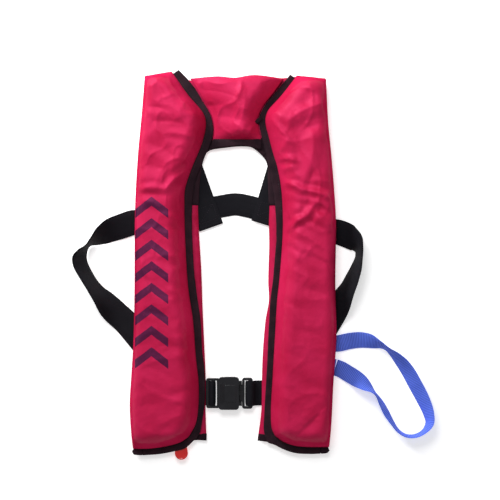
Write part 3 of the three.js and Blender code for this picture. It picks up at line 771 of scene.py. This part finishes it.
def lobe(side, outer, red, foot, folds, seed, flip):
    """One front lobe: rounded at the outer edge, sloping down to its binding at the inner edge.
    flip turns the faces of a lobe whose rows run the other way."""
    head = np.array([outer[0], red[0]])
    smooth_outer, smooth_red = curve_through(outer, 4 * MM), curve_through(red, 4 * MM)
    smooth_foot = curve_through(foot, 4 * MM)
    plan = patch(head, smooth_foot, smooth_outer, smooth_red, 200, 48)
    rows, columns, _ = plan.shape
    plan = plan.reshape(-1, 2)
    seam = np.concatenate([smooth_red, smooth_foot[::-1]])
    from_seam, from_rim = distance_to(plan, seam), distance_to(plan, smooth_outer)
    from_head = distance_to(plan, head)
    low = BINDING_TOP - 0.8 * MM
    # A long slope up from the seam, and rounder, shorter ones at the outer edge and the head
    inner = 0.7 * rise(from_seam, 27 * MM) + 0.3 * round_rise(from_seam, 20 * MM)
    outside = 0.4 + 0.6 * round_rise(from_rim, 17 * MM)
    end = 0.15 + 0.85 * round_rise(from_head, 22 * MM)
    heights = low + (LOBE_TOP - low) * inner * outside * end
    if side == "right":
        heights += BUMP_HEIGHT * np.exp(-(((plan - BUMP_SPOT) / BUMP_REACH) ** 2).sum(1))
    grid = np.concatenate([plan, heights[:, None]], axis=1).reshape(rows, columns, 3)
    grid = uneven(grid, np.minimum(np.minimum(from_seam, from_rim), from_head), seed, folds, CALM_BELOW[side])
    grid = with_wall(with_wall(grid.swapaxes(0, 1)).swapaxes(0, 1))
    return cover_object(f"{side}_cover", grid, flip, "printed_cloth" if side == "left" else "cover_cloth")


def fold_line(joint):
    """A point on a fold's axis, and the level direction that its flap lies in."""
    found = next(j for j in frame["joints"] if j["name"] == joint)
    axis = Vector(found["axis"])
    return Vector(found["pos_m"]), axis.cross(Vector((0, 0, 1)))


def hang_on_fold(obj, side):
    """Hides the fold and flap panel nodes that the cover stands for, and bakes the cover's place into its
    points; the fold's line is found but not used. Laid flat it is 160 mm by the length.
    """
    middle, inward = fold_line(f"{side}_flap_fold")
    flap_middle = sum(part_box(f"{side}_flap_panel"), Vector()) / 2
    if (flap_middle - middle).dot(inward) < 0:
        inward = -inward
    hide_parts(f"{side}_cover_fold", f"{side}_flap_panel")
    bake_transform(obj)


def collar():
    """The cover over the neck, one fold along its top edge."""
    left, right = curve_through(COLLAR_LEFT, 3 * MM), curve_through(COLLAR_RIGHT, 3 * MM)
    head = curve_through(COLLAR_HEAD, 3 * MM)
    plan = patch(head, COLLAR_FOOT, left, right, 56, 60)
    rows, columns, _ = plan.shape
    plan = plan.reshape(-1, 2)
    from_left, from_right = distance_to(plan, left), distance_to(plan, right)
    from_foot, from_head = distance_to(plan, COLLAR_FOOT), distance_to(plan, head)
    low = BINDING_TOP - 1.2 * MM + 5 * MM * rise(plan[:, 1] - 240 * MM, 22 * MM)
    across = rise(from_left, 58 * MM) * rise(from_right, 27 * MM)
    lengthwise = rise(from_foot, 16 * MM) * (0.3 + 0.7 * round_rise(from_head, 40 * MM))
    heights = low + (COLLAR_TOP - 3 * MM - low) * across * lengthwise
    grid = np.concatenate([plan, heights[:, None]], axis=1).reshape(rows, columns, 3)
    grid = uneven(grid, np.minimum.reduce([from_left, from_right, from_foot, from_head]), 9.1, COLLAR_FOLDS)
    return cover_object("collar_cover", with_wall(grid), True, "cover_cloth")


def covers():
    left = lobe("left", LEFT_OUTER, LEFT_RED, LEFT_FOOT, LEFT_FOLDS, 1.7, True)
    right = lobe("right", RIGHT_OUTER, RIGHT_RED, RIGHT_FOOT, RIGHT_FOLDS, 5.2, False)
    hang_on_fold(left, "left")
    hang_on_fold(right, "right")
    hang_on_fold(collar(), "collar")


# Bindings

LEFT_FREE = mm([
    (-82, 294), (-67.5, 279), (-54, 261), (-46.5, 247.5), (-37, 232.5), (-31, 215), (-30, 200),
    (-32, 189), (-39, 171), (-47, 153), (-58, 123), (-62, 80), (-59, -6.5), (-54.5, -45), (-49, -83),
    (-46.5, -129), (-43, -158), (-42.6, -205), (-46.5, -234), (-51, -255), (-60.5, -266), (-72, -276),
    (-89, -281), (-110, -285), (-136.3, -287),
])
RIGHT_FREE = mm([
    (86, 287), (78, 277), (61.5, 257), (47, 239), (39, 222), (39, 213), (42, 198), (44, 187.5), (53, 153),
    (60, 116), (64, 80), (65, 32), (61, -16), (56, -54), (54.5, -83), (52.5, -131), (50, -172), (47, -225),
    (46.5, -250), (52, -267), (62, -271), (76, -278), (93, -283.5), (115, -285), (131.3, -284.5),
])


COLLAR_FREE = mm([(-33.5, 174.5), (-24, 176), (-10, 177.5), (13, 180), (26, 178), (43, 174)])
COLLAR_SEAM = mm([(-31, 188), (4, 188), (42, 188)])
LEFT_CORNER_FREE = mm([(-137, -287), (-144, -286.8), (-150, -285.5), (-152.5, -281)])
LEFT_CORNER_SEAM = mm([(-137, -278), (-144, -278), (-150, -277.5)])
RIGHT_CORNER_FREE = mm([(132, -284.5), (137, -284.4), (142, -283.5), (145.5, -280)])
RIGHT_CORNER_SEAM = mm([(132, -275), (138, -275), (143.5, -275)])

# A folded tape's section: shares of its width from the free edge, and of half its height
TAPE_SECTION = [(0.0, -0.35), (0.0, 0.35), (0.08, 0.9), (0.25, 1.15), (0.55, 1.1), (0.85, 1.0), (1.0, 0.75),
                (1.0, -0.6), (0.8, -1.0), (0.4, -1.0), (0.1, -0.85)]


def nearest_on(seam, points):
    """The seam's nearest point to each of the points, smoothed along them."""
    near = seam[np.argmin(((points[:, None] - seam[None]) ** 2).sum(2), axis=1)]
    padded = np.concatenate([2 * near[0] - near[4:0:-1], near, 2 * near[-1] - near[-2:-6:-1]])
    return np.stack([np.convolve(padded[:, k], np.ones(9) / 9, "valid") for k in (0, 1)], axis=1)


def tape_between(name, free, seam, low, high, body, *nodes, overlap=1.6 * MM):
    """Binding tape folded over an edge: from its free edge in to a seam line, a little past it.
    Returns the line that its stitches follow."""
    inward = nearest_on(seam, free) - free
    width = np.linalg.norm(inward, axis=1)[:, None]
    inward /= np.maximum(width, 1e-6)
    middle, half = (low + high) / 2, (high - low) / 2
    points, uvs = [], []
    for i, (edge, gone) in enumerate(zip(free, along_line(free))):
        pucker = 0.00018 * math.sin(gone / (3.4 * MM)) + 0.0002 * noise.noise(Vector((gone * 60, 2, 0)))
        for share, lift in TAPE_SECTION:
            spot = edge + inward[i] * share * (width[i] + overlap)
            points.append((*spot, middle + lift * half + pucker * (lift > 0)))
            uvs.append((gone, share * 0.01))
    dress(closed_tube(name, points, len(TAPE_SECTION), uvs), "binding_tape", body, *nodes)
    return free + inward * (width * 0.78)


def stitch_row(name, line, level, body, pitch=3.6 * MM):
    """A row of thread stitches lying on a line."""
    spots = resample(line, int(length_of(line) / pitch))
    points, faces = [], []
    for a, b in zip(spots[:-1], spots[1:]):
        step = b - a
        side = np.array((-step[1], step[0])) / np.linalg.norm(step) * 0.32 * MM
        start, end, middle = a + step * 0.16, a + step * 0.84, (a + b) / 2
        base = len(points)
        points += [(*start, level - 0.1 * MM), (*(middle + side), level), (*end, level - 0.1 * MM),
                   (*(middle - side), level), (*middle, level + 0.34 * MM), (*middle, level - 0.3 * MM)]
        for i in range(4):
            j = (i + 1) % 4
            faces += [(base + j, base + i, base + 4), (base + i, base + j, base + 5)]
    dress(make_object(name, points, faces), "binding_tape", body, look="thread")


def bindings():
    """The tapes round the flaps' free edges, each with its stitches."""
    edges = {
        "left": (LEFT_FREE, np.concatenate([LEFT_RED, LEFT_FOOT[-2::-1]])),
        "right": (RIGHT_FREE, np.concatenate([RIGHT_RED, RIGHT_FOOT[-2::-1]])),
        "collar": (COLLAR_FREE, COLLAR_SEAM),
    }
    for side, (free, seam) in edges.items():
        stitches = tape_between(f"{side}_binding", curve_through(free, 2.4 * MM), curve_through(seam, 0.8 * MM),
                                BINDING_LOW, BINDING_TOP, f"{side}_flap", f"{side}_flap_binding")
        stitch_row(f"{side}_binding_stitches", stitches, BINDING_TOP + 0.1 * MM, f"{side}_flap")


def corner_tapes():
    """The tape at each foot's outer corner, and its end that lies under the flap's own tape."""
    corners = {
        "left": (LEFT_CORNER_FREE, LEFT_CORNER_SEAM, 4 * MM),
        "right": (RIGHT_CORNER_FREE, RIGHT_CORNER_SEAM, -4 * MM),
    }
    for side, (free, seam, inner) in corners.items():
        tape_between(f"{side}_corner_tape", curve_through(free, 1.5 * MM), curve_through(seam, 0.8 * MM),
                     BACK_TOP, BINDING_TOP, "root", f"{side}_corner_binding")
        under_free, under_seam = free[:2] + (inner, 0.6 * MM), seam[:2] + (inner, 0)
        tape_between(f"{side}_corner_underlap", resample(under_free, 16), resample(under_seam, 16),
                     BACK_TOP, BINDING_LOW - 0.3 * MM, "root")


# Back panel

BACK_OUTER_LEFT = [(-129, 280), (-133, 227), (-139, 168), (-143.5, 112), (-143.5, 51), (-144, -45),
                   (-147, -131), (-151, -209), (-149, -244), (-148, -282)]
BACK_FOOT_LEFT = [(-148, -282), (-110, -280.5), (-89, -277), (-70, -269), (-60, -264), (-40, -264)]
BACK_INNER_LEFT = [(-40, -264), (-41.5, -219), (-41.5, -167), (-43.5, -121), (-46, -64), (-48, -6.5),
                   (-51.6, 51), (-53, 90), (-51.5, 125), (-47.5, 152), (-42, 169)]
BACK_NECK = [(-42, 169), (-35, 174), (-11, 178), (12, 180), (28, 178.5), (38, 172)]
BACK_INNER_RIGHT = [(38, 172), (46, 164), (52, 154), (53.5, 125), (55, 90), (54, 61), (54.5, 32),
                    (53, -25), (54, -54), (49, -83), (44.5, -140), (43.5, -172), (42.7, -218), (37, -264)]
BACK_FOOT_RIGHT = [(37, -264), (60, -268), (90, -280.5), (142, -282)]
BACK_OUTER_RIGHT = [(142, -282), (148, -225), (149, -173), (150, -108), (149, -26), (149.5, 65), (148, 103),
                    (143, 166), (139, 212), (136, 276)]
BACK_HEAD = [(136, 276), (96, 284), (76, 282), (30, 284), (3, 280), (-22, 282), (-67, 279), (-82, 286),
             (-129, 280)]
# Tapes sewn over the back panel's edge: the run of edge, the width and how far it stands proud
HEMS = {
    "neck": (BACK_NECK, 14 * MM, 0.6 * MM),
    "left_neck": (BACK_INNER_LEFT[-4:], 13 * MM, 0.6 * MM),
    "right_neck": (BACK_INNER_RIGHT[:5], 13 * MM, 0.6 * MM),
    "left_foot": (BACK_FOOT_LEFT, 9.5 * MM, 0.0),
    "right_foot": (BACK_FOOT_RIGHT, 9.5 * MM, 0.0),
}
# Tapes that cross the neck's corners: the edge, and the step from it to the seam
NECK_CORNERS = {
    "left": ([(-42, 168), (-36, 176), (-34, 192)], (-13, 0)),
    "right": ([(37, 192), (38, 172), (46, 164)], (13, 0)),
}


def fill_outline(outline, cell):
    """Plan points and triangles that fill an outline, with inner points at the cell size."""
    low, high = outline.min(0), outline.max(0)
    xs, ys = np.arange(low[0], high[0], cell), np.arange(low[1], high[1], cell * 0.87)
    inner = np.array([(x + (k % 2) * cell / 2, y) for k, y in enumerate(ys) for x in xs])
    closed = looped(outline)
    crossings = np.zeros(len(inner), int)
    for (x0, y0), (x1, y1) in zip(closed[:-1], closed[1:]):
        spans = (inner[:, 1] < y0) != (inner[:, 1] < y1)
        reach = x0 + (inner[:, 1] - y0) / (y1 - y0 if y1 != y0 else 1) * (x1 - x0)
        crossings += spans & (inner[:, 0] < reach)
    inner = inner[(crossings % 2 == 1) & (distance_to(inner, closed) > cell * 0.5)]
    everything = [Vector(p) for p in np.concatenate([outline, inner])]
    count = len(outline)
    ring = [(i, (i + 1) % count) for i in range(count)]
    points, _, faces, *_ = delaunay_2d_cdt(everything, ring, [list(range(count))], 1, 1e-7)
    return np.array([tuple(p) for p in points]), faces


def back_panel():
    """The red sheet under everything, filled in from the runs of its outline."""
    runs = [BACK_OUTER_LEFT, BACK_FOOT_LEFT, BACK_INNER_LEFT, BACK_NECK, BACK_INNER_RIGHT, BACK_FOOT_RIGHT,
            BACK_OUTER_RIGHT, BACK_HEAD]
    outline = np.concatenate([curve_through(mm(run), 6 * MM)[:-1] for run in runs])
    plan, faces = fill_outline(outline, 9 * MM)
    points = np.concatenate([plan, np.full((len(plan), 1), BACK_TOP - 0.2 * MM)], axis=1)
    points[:, 2] += 0.00015 * noise_at(points, 30, 4.4)
    obj = make_object("back_panel_cloth", points, faces)
    add_modifier(obj, "SOLIDIFY", thickness=1.2 * MM, offset=-1)
    dress(obj, "cover_cloth", "root", "back_panel")


def back_panel_tapes():
    for name, (run, width, proud) in HEMS.items():
        edge = curve_through(mm(run), 3 * MM)
        steps = np.gradient(edge, axis=0)
        inward = unit(np.stack([-steps[:, 1], steps[:, 0]], axis=1))
        tape_between(f"{name}_hem", edge - inward * 1.2 * MM, edge + inward * width, BACK_LOW, BACK_TOP + proud,
                     "root", overlap=0)
    for side, (run, step) in NECK_CORNERS.items():
        edge = curve_through(mm(run), 2 * MM)
        tape_between(f"{side}_neck_corner", edge, edge + mm(step), BACK_TOP, BACK_TOP + 0.7 * MM,
                     "root", overlap=0)


# Bladder

BLADDERS = {
    "left": [(-120, 272), (-98, 275), (-75, 250), (-54, 224), (-52, 206), (-60, 178), (-75, 145), (-84, 112),
             (-85, 60), (-82, -10), (-79, -44), (-116, -44), (-116, -262), (-143, -264), (-147, -209),
             (-142, -115), (-140, -45), (-140, 51), (-139, 100), (-134, 168), (-129, 227)],
    "right": [(128, 268), (102, 271), (78, 248), (60, 228), (58, 214), (62, 196), (97, 190), (97, -128),
              (74, -134), (72, -172), (68, -225), (71, -248), (88, -261), (136, -264), (138, -240),
              (142, -180), (146, -108), (145, -26), (146, 65), (144, 103), (139, 166), (134, 212)],
    "collar": [(-38, 266), (-25, 240), (-18, 214), (-18, 198), (31, 198), (26, 214), (29, 240), (48, 266)],
}
BLADDER_LOW = 7.2 * MM


def bladder(side, outline, sink, cap):
    """One part of the folded bladder: a pad with soft folds, its top a little below the CAD solid's,
    which a cloth simulation then shapes."""
    ring = resample(looped(mm(outline)), 160)[:-1]
    plan, faces = fill_outline(ring, 7 * MM)
    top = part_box(f"{side}_bladder")[1].z - sink
    gap = distance_to(plan, looped(ring))
    heights = BLADDER_LOW + (top - BLADDER_LOW) * (0.25 + 0.75 * rise(gap, 22 * MM))
    folds = 0.0018 * np.abs(np.sin(plan[:, 0] / (13 * MM) + 0.6 * np.sin(plan[:, 1] / (60 * MM))))
    heights -= folds * rise(gap, 12 * MM)
    count = len(plan)
    points = [(*spot, height) for spot, height in zip(plan, heights)] + [(*spot, BLADDER_LOW) for spot in plan]
    shell = [tuple(f) for f in faces] + [tuple(count + k for k in f[::-1]) for f in faces]
    for a in range(len(ring)):
        b = (a + 1) % len(ring)
        shell.append((b, a, count + a, count + b))
    obj = outward(make_object(f"{side}_bladder_cloth", points, shell))
    puff(obj, cap)
    dress(obj, "bladder_cloth", "root", f"{side}_bladder")
    return obj


def bladders():
    for side in ("left", "right"):
        reflective_patch(side, bladder(side, BLADDERS[side], 5 * MM, 3 * MM))
    bladder("collar", BLADDERS["collar"], 8 * MM, 2 * MM)


def reflective_patch(side, pad):
    """Reflective tape that lies on the bladder's folds."""
    low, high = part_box(f"{side}_reflective_patch")
    surface = BVHTree.FromObject(pad, bpy.context.evaluated_depsgraph_get())
    columns, rows = 16, 24
    points = []
    for y in np.linspace(low.y, high.y, rows):
        for x in np.linspace(low.x, high.x, columns):
            spot = surface.ray_cast(Vector((x, y, 1)), Vector((0, 0, -1)))[0]
            points.append((x, y, spot.z + 0.5 * MM))
    obj = make_object(f"{side}_reflective_tape", points, grid_faces(rows, columns))
    add_modifier(obj, "SOLIDIFY", thickness=0.4 * MM, offset=1)
    dress(obj, "silver_tape", "root", f"{side}_reflective_patch")


def corners_of(mesh):
    return np.array([tuple(v.co) for v in mesh.vertices])


def inflate(obj, cap):
    """Lets cloth under pressure settle a pad, moving no point further than the cap."""
    before = corners_of(obj.data)
    cloth = add_modifier(obj, "CLOTH").settings
    cloth.use_pressure = True
    cloth.uniform_pressure_force = 3.0
    cloth.effector_weights.gravity = 0
    cloth.quality = 5
    for step in range(1, 16):
        bpy.context.scene.frame_set(step)
    graph = bpy.context.evaluated_depsgraph_get()
    move = corners_of(obj.evaluated_get(graph).data) - before
    obj.modifiers.clear()
    bpy.context.scene.frame_set(1)
    far = np.linalg.norm(move, axis=1)[:, None]
    moved = before + move * np.minimum(1, cap / np.maximum(far, 1e-9))
    moved[:, 2] = np.maximum(moved[:, 2], BACK_TOP + 0.4 * MM)
    obj.data.vertices.foreach_set("co", moved.ravel())
    obj.data.update()


def puff(obj, cap):
    """Remeshes a pad evenly and inflates it."""
    add_modifier(obj, "REMESH", mode="VOXEL", voxel_size=5 * MM)
    apply_modifiers(obj)
    inflate(obj, cap)
    add_modifier(obj, "SUBSURF", levels=1, render_levels=1)
    obj.data.shade_smooth()


# Hardware

HARDWARE = {
    "black_plastic": ("buckle_socket", "buckle_plug", "upper_prong", "lower_prong", "inflator_body",
                      "valve_manifold", "oral_tube_base"),
    "red_plastic": ("inflator_lever", "valve_plunger"),
    "orange_plastic": ("whistle",),
    "green_plastic": ("indicator_clip",),
    "steel": ("lever_pin",),
    "hook_loop": tuple(f"{side}_{kind}_tape" for side in BLADDERS for kind in ("hook", "loop")),
}
EDGE_ROUNDING = {
    "buckle_socket": 0.9 * MM,
    "buckle_plug": 0.9 * MM,
    "inflator_body": 1.2 * MM,
    "oral_tube_base": 1.8 * MM,
    "whistle": 0.8 * MM,
}


def hardware():
    """The CAD nodes that stay as they are: their materials, and rounded edges on the moulded ones."""
    for look, names in HARDWARE.items():
        for name in names:
            obj = NODES[name]
            obj.data.materials.clear()
            obj.data.materials.append(MATERIALS[look])
            if not name.endswith("tape"):
                size = EDGE_ROUNDING.get(name, 0.35 * MM)
                add_modifier(obj, "BEVEL", width=size, segments=3, limit_method="ANGLE",
                             angle_limit=math.radians(38))


def moulded(name, outline, low, high, body, bevel=0.5 * MM):
    """A black moulded piece with a plan outline between two levels, its edges rounded."""
    obj = closed_tube(name, [(*p, z) for z in (low, high) for p in outline], len(outline))
    obj.data.shade_flat()
    add_modifier(obj, "BEVEL", width=bevel, segments=3, limit_method="ANGLE")
    dress(obj, "black_plastic", body)


def arc(x, y, radius, angles):
    return [(x + radius * math.cos(angle), y + radius * math.sin(angle)) for angle in angles]


def rounded_box(x0, x1, y0, y1, corner):
    """A rectangle's outline with rounded corners."""
    left, right, low, high = x0 + corner, x1 - corner, y0 + corner, y1 - corner
    outline = []
    for quarter, (x, y) in enumerate(((right, high), (left, high), (left, low), (right, low))):
        outline += arc(x, y, corner, np.radians(90 * quarter + np.linspace(0, 90, 5)))
    return outline


def buckle_details():
    """The socket's raised panel and grip ribs, and the plug's shoulders and tongue."""
    top = BUCKLE_HIGH.z
    y = BUCKLE_Y
    panel = rounded_box(-13 * MM, 4.5 * MM, y - 13 * MM, y + 13 * MM, 3 * MM)
    moulded("socket_panel", panel, top - 0.6 * MM, top + 0.55 * MM, "root")
    for i in range(3):
        x = (-20.2 + 2.3 * i) * MM
        rib = rounded_box(x, x + 1.1 * MM, y - 15 * MM, y + 15 * MM, 0.5 * MM)
        moulded(f"socket_rib_{i + 1}", rib, top - 0.6 * MM, top + 0.6 * MM, "root", 0.3 * MM)
    plug_low, plug_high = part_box("buckle_plug")
    middle = (plug_low.z + plug_high.z) / 2
    tongue = rounded_box(8 * MM, 14.2 * MM, y - 13 * MM, y + 13 * MM, 0.5 * MM)
    moulded("plug_tongue", tongue, middle - 1.2 * MM, middle + 1.2 * MM, "buckle_plug", 0.2 * MM)
    for name, sign in (("upper", 1), ("lower", -1)):
        shoulder = [(9.4, 2.0), (14.2, 2.0), (14.2, 12.4), (12.6, 12.4), (9.4, 9.8)]
        outline = [(x * MM, y + sign * across * MM) for x, across in shoulder][::sign]
        moulded(f"{name}_plug_shoulder", outline, middle - 3.2 * MM, middle + 3.2 * MM, "buckle_plug")


def turned(name, profile, node, slot, body, flutes=0, depth=0.0):
    """A turned piece along Y in a node's place. The profile lists radius and distance from the node's low end,
    in millimetres; flutes cut a number of grooves along the piece."""
    low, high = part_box(node)
    x, z = (low.x + high.x) / 2, (low.z + high.z) / 2
    sides = 12 * flutes if flutes else 56
    points = []
    for radius, along in profile:
        for k in range(sides):
            angle = math.tau * k / sides
            groove = depth * (0.5 + 0.5 * math.cos(flutes * angle)) if flutes and radius > 1 else 0
            reach = radius * MM - groove
            points.append((x + reach * math.cos(angle), low.y + along * MM, z + reach * math.sin(angle)))
    obj = closed_tube(name, points, sides)
    obj.data.set_sharp_from_angle(angle=math.radians(40))
    dress(obj, slot, body, node)


def rounded_steps(corners, radius=0.5, steps=4):
    """A turned profile with its corners rounded."""
    corners = [np.array(c, float) for c in corners]
    profile = [corners[0]]
    for before, corner, after in zip(corners[:-2], corners[1:-1], corners[2:]):
        back, ahead = before - corner, after - corner
        cut = min(radius, np.linalg.norm(back) * 0.45, np.linalg.norm(ahead) * 0.45)
        start = corner + back / np.linalg.norm(back) * cut
        end = corner + ahead / np.linalg.norm(ahead) * cut
        for t in np.linspace(0, 1, steps):
            profile.append((1 - t) ** 2 * start + 2 * t * (1 - t) * corner + t**2 * end)
    return [tuple(p) for p in [*profile, corners[-1]]]


def gas_and_oral_parts():
    """The gas cylinder with its threaded neck, and the mouth tube with its valve and cap."""
    thread = [(6.0 if k % 2 else 5.3, 0.4 + 0.75 * k) for k in range(12)]
    bottle = rounded_steps([(6, 9.5), (6, 10), (8, 13.5), (12.6, 17.5), (14, 22.5), (14, 133), (12, 140.5),
                            (7, 144.3), (0.3, 145)], 3.5, 6)
    turned("gas_cylinder_bottle", [(0.3, 0), (5.2, 0), *thread, *bottle], "gas_cylinder", "steel",
           "gas_cylinder")
    rings = [point for k in range(9) for point in ((5.4, 6 + 9 * k), (5.75, 6.6 + 9 * k), (5.4, 7.2 + 9 * k))]
    turned("oral_tube_hose", [(5.4, 0), *rings, (5.4, 85.7)], "oral_tube", "orange_plastic", "root")
    valve = rounded_steps([(5.6, 0), (7, 0), (7, 3), (6.5, 3.6), (6.5, 8), (7, 8.6), (7, 22), (5.6, 22)], 0.5)
    turned("oral_valve_body", valve, "oral_valve", "black_plastic", "root")
    cap = rounded_steps([(7.6, 0), (9, 0), (9, 20), (8.6, 21), (0.3, 21)], 0.9)
    turned("oral_cap_knurled", cap, "oral_cap", "black_plastic", "oral_cap", flutes=18, depth=0.5 * MM)


def inflator_details():
    """Grip ribs and a screw's head on the inflator."""
    low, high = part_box("inflator_body")
    x = (low.x + high.x) / 2
    for i in range(4):
        y = high.y - (8 + 3.2 * i) * MM
        rib = rounded_box(high.x - 0.3 * MM, high.x + 0.7 * MM, y - 0.7 * MM, y + 0.7 * MM, 0.3 * MM)
        moulded(f"inflator_grip_{i + 1}", rib, low.z + 5 * MM, high.z - 5 * MM, "root", 0.2 * MM)
    angles = np.linspace(0, math.tau, 28, endpoint=False)
    head = arc(x - 9 * MM, high.y - 10 * MM, 4 * MM, angles)
    moulded("inflator_screw", head, high.z - 1 * MM, high.z + 0.8 * MM, "root", 0.3 * MM)


def small_sewn_parts():
    """The stitched boxes where the harness straps meet the belt, and the loose end of the right binding."""
    level = STRAP_LOW + WEBBING_THICK + 0.35 * MM
    boxes = {
        "left": [(-51, 61), (-23.5, 71), (-30.5, 92), (-58, 82), (-51, 61)],
        "right": [(36.5, 74.5), (63.5, 66), (69.5, 87), (42.5, 95.5), (36.5, 74.5)],
    }
    for side, corners in boxes.items():
        stitch_row(f"{side}_harness_stitches", resample(mm(corners), 120), level, "root", 3 * MM)
        stitch_row(f"{side}_harness_cross", mm([corners[0], corners[2]]), level, "root", 3 * MM)
    route = [(42.5, 221, 11.9, 0), (39.5, 218.5, 12.4, 8), (36.5, 216, 13.0, 16), (34.8, 213.6, 13.4, 24)]
    strap("loose_binding_end", route, 6 * MM, "binding_tape", "right_flap", spacing=1 * MM)


def pull_tab():
    """A glossy moulded tab with a raised rim, thinner where it lies under the cover's edge."""
    low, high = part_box("pull_tab")
    x, radius = (low.x + high.x) / 2, (high.x - low.x) / 2
    centre_y = low.y + radius
    outline = [(x - 0.62 * radius, high.y), (x + 0.62 * radius, high.y)]
    outline += arc(x, centre_y, radius, np.radians(np.linspace(12, -192, 26)))
    ring = resample(looped(np.array(outline)), 72)[:-1]
    centre = np.array((x, centre_y))
    levels = [(1.0, 0.0), (1.0, 0.5), (0.97, 1.0), (0.86, 1.12), (0.74, 0.72), (0.4, 0.62), (0.02, 0.6)]
    middle, cover_edge = (low.z + high.z) / 2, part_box("left_flap_binding")[0].y
    points = []
    for thick in (2.1 * MM, -1.1 * MM):
        for share, lift in levels:
            for spot in centre + (ring - centre) * share:
                past = np.clip((cover_edge + 4 * MM - spot[1]) / (8 * MM), 0, 1)
                points.append((*spot, middle + lift * thick * (0.45 + 0.55 * past)))
    count = len(ring)
    half = len(levels) * count
    shell = grid_faces(len(levels), count, closed=True) + [tuple(range(half - count, half))]
    faces = shell + [tuple(half + k for k in face) for face in shell]
    obj = outward(make_object("pull_tab_moulded", points, faces), join=True)
    add_modifier(obj, "SUBSURF", levels=1, render_levels=1)
    dress(obj, "red_plastic", "pull_handle", "pull_tab")


def round_cord(name, points, radius, slot, body, node):
    """A braided cord: a curve with a round section."""
    data = bpy.data.curves.new(name, "CURVE")
    data.dimensions = "3D"
    data.bevel_depth = radius
    data.bevel_resolution = 3
    data.use_fill_caps = True
    line = curve_through(mm(points), 2 * MM)
    spline = data.splines.new("POLY")
    spline.points.add(len(line) - 1)
    for point, spot in zip(spline.points, line):
        point.co = (*spot, 1)
    return dress(in_scene(name, data), slot, body, node), line


def cords():
    route = [(86, -63.5, 12), (87, -50, 9), (84, -34, 8.4), (89, -16, 8.4), (86, 0, 9.5), (86, 12.6, 12)]
    obj, line = round_cord("whistle_lanyard_cord", route, 1.25 * MM, "black_cord", "root", "whistle_lanyard")
    low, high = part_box("pull_cord")
    z = (low.z + high.z) / 2 / MM
    route = [(-82, -245.8, z), (-81, -254, z), (-80, -261.6, z)]
    round_cord("pull_cord_braid", route, 0.95 * MM, "red_plastic", "pull_handle", "pull_cord")


camera()
free_loops()
belts()
covers()
bindings()
corner_tapes()
back_panel()
back_panel_tapes()
bladders()
hardware()
gas_and_oral_parts()
inflator_details()
buckle_details()
small_sewn_parts()
pull_tab()
cords()
lights()
floor()
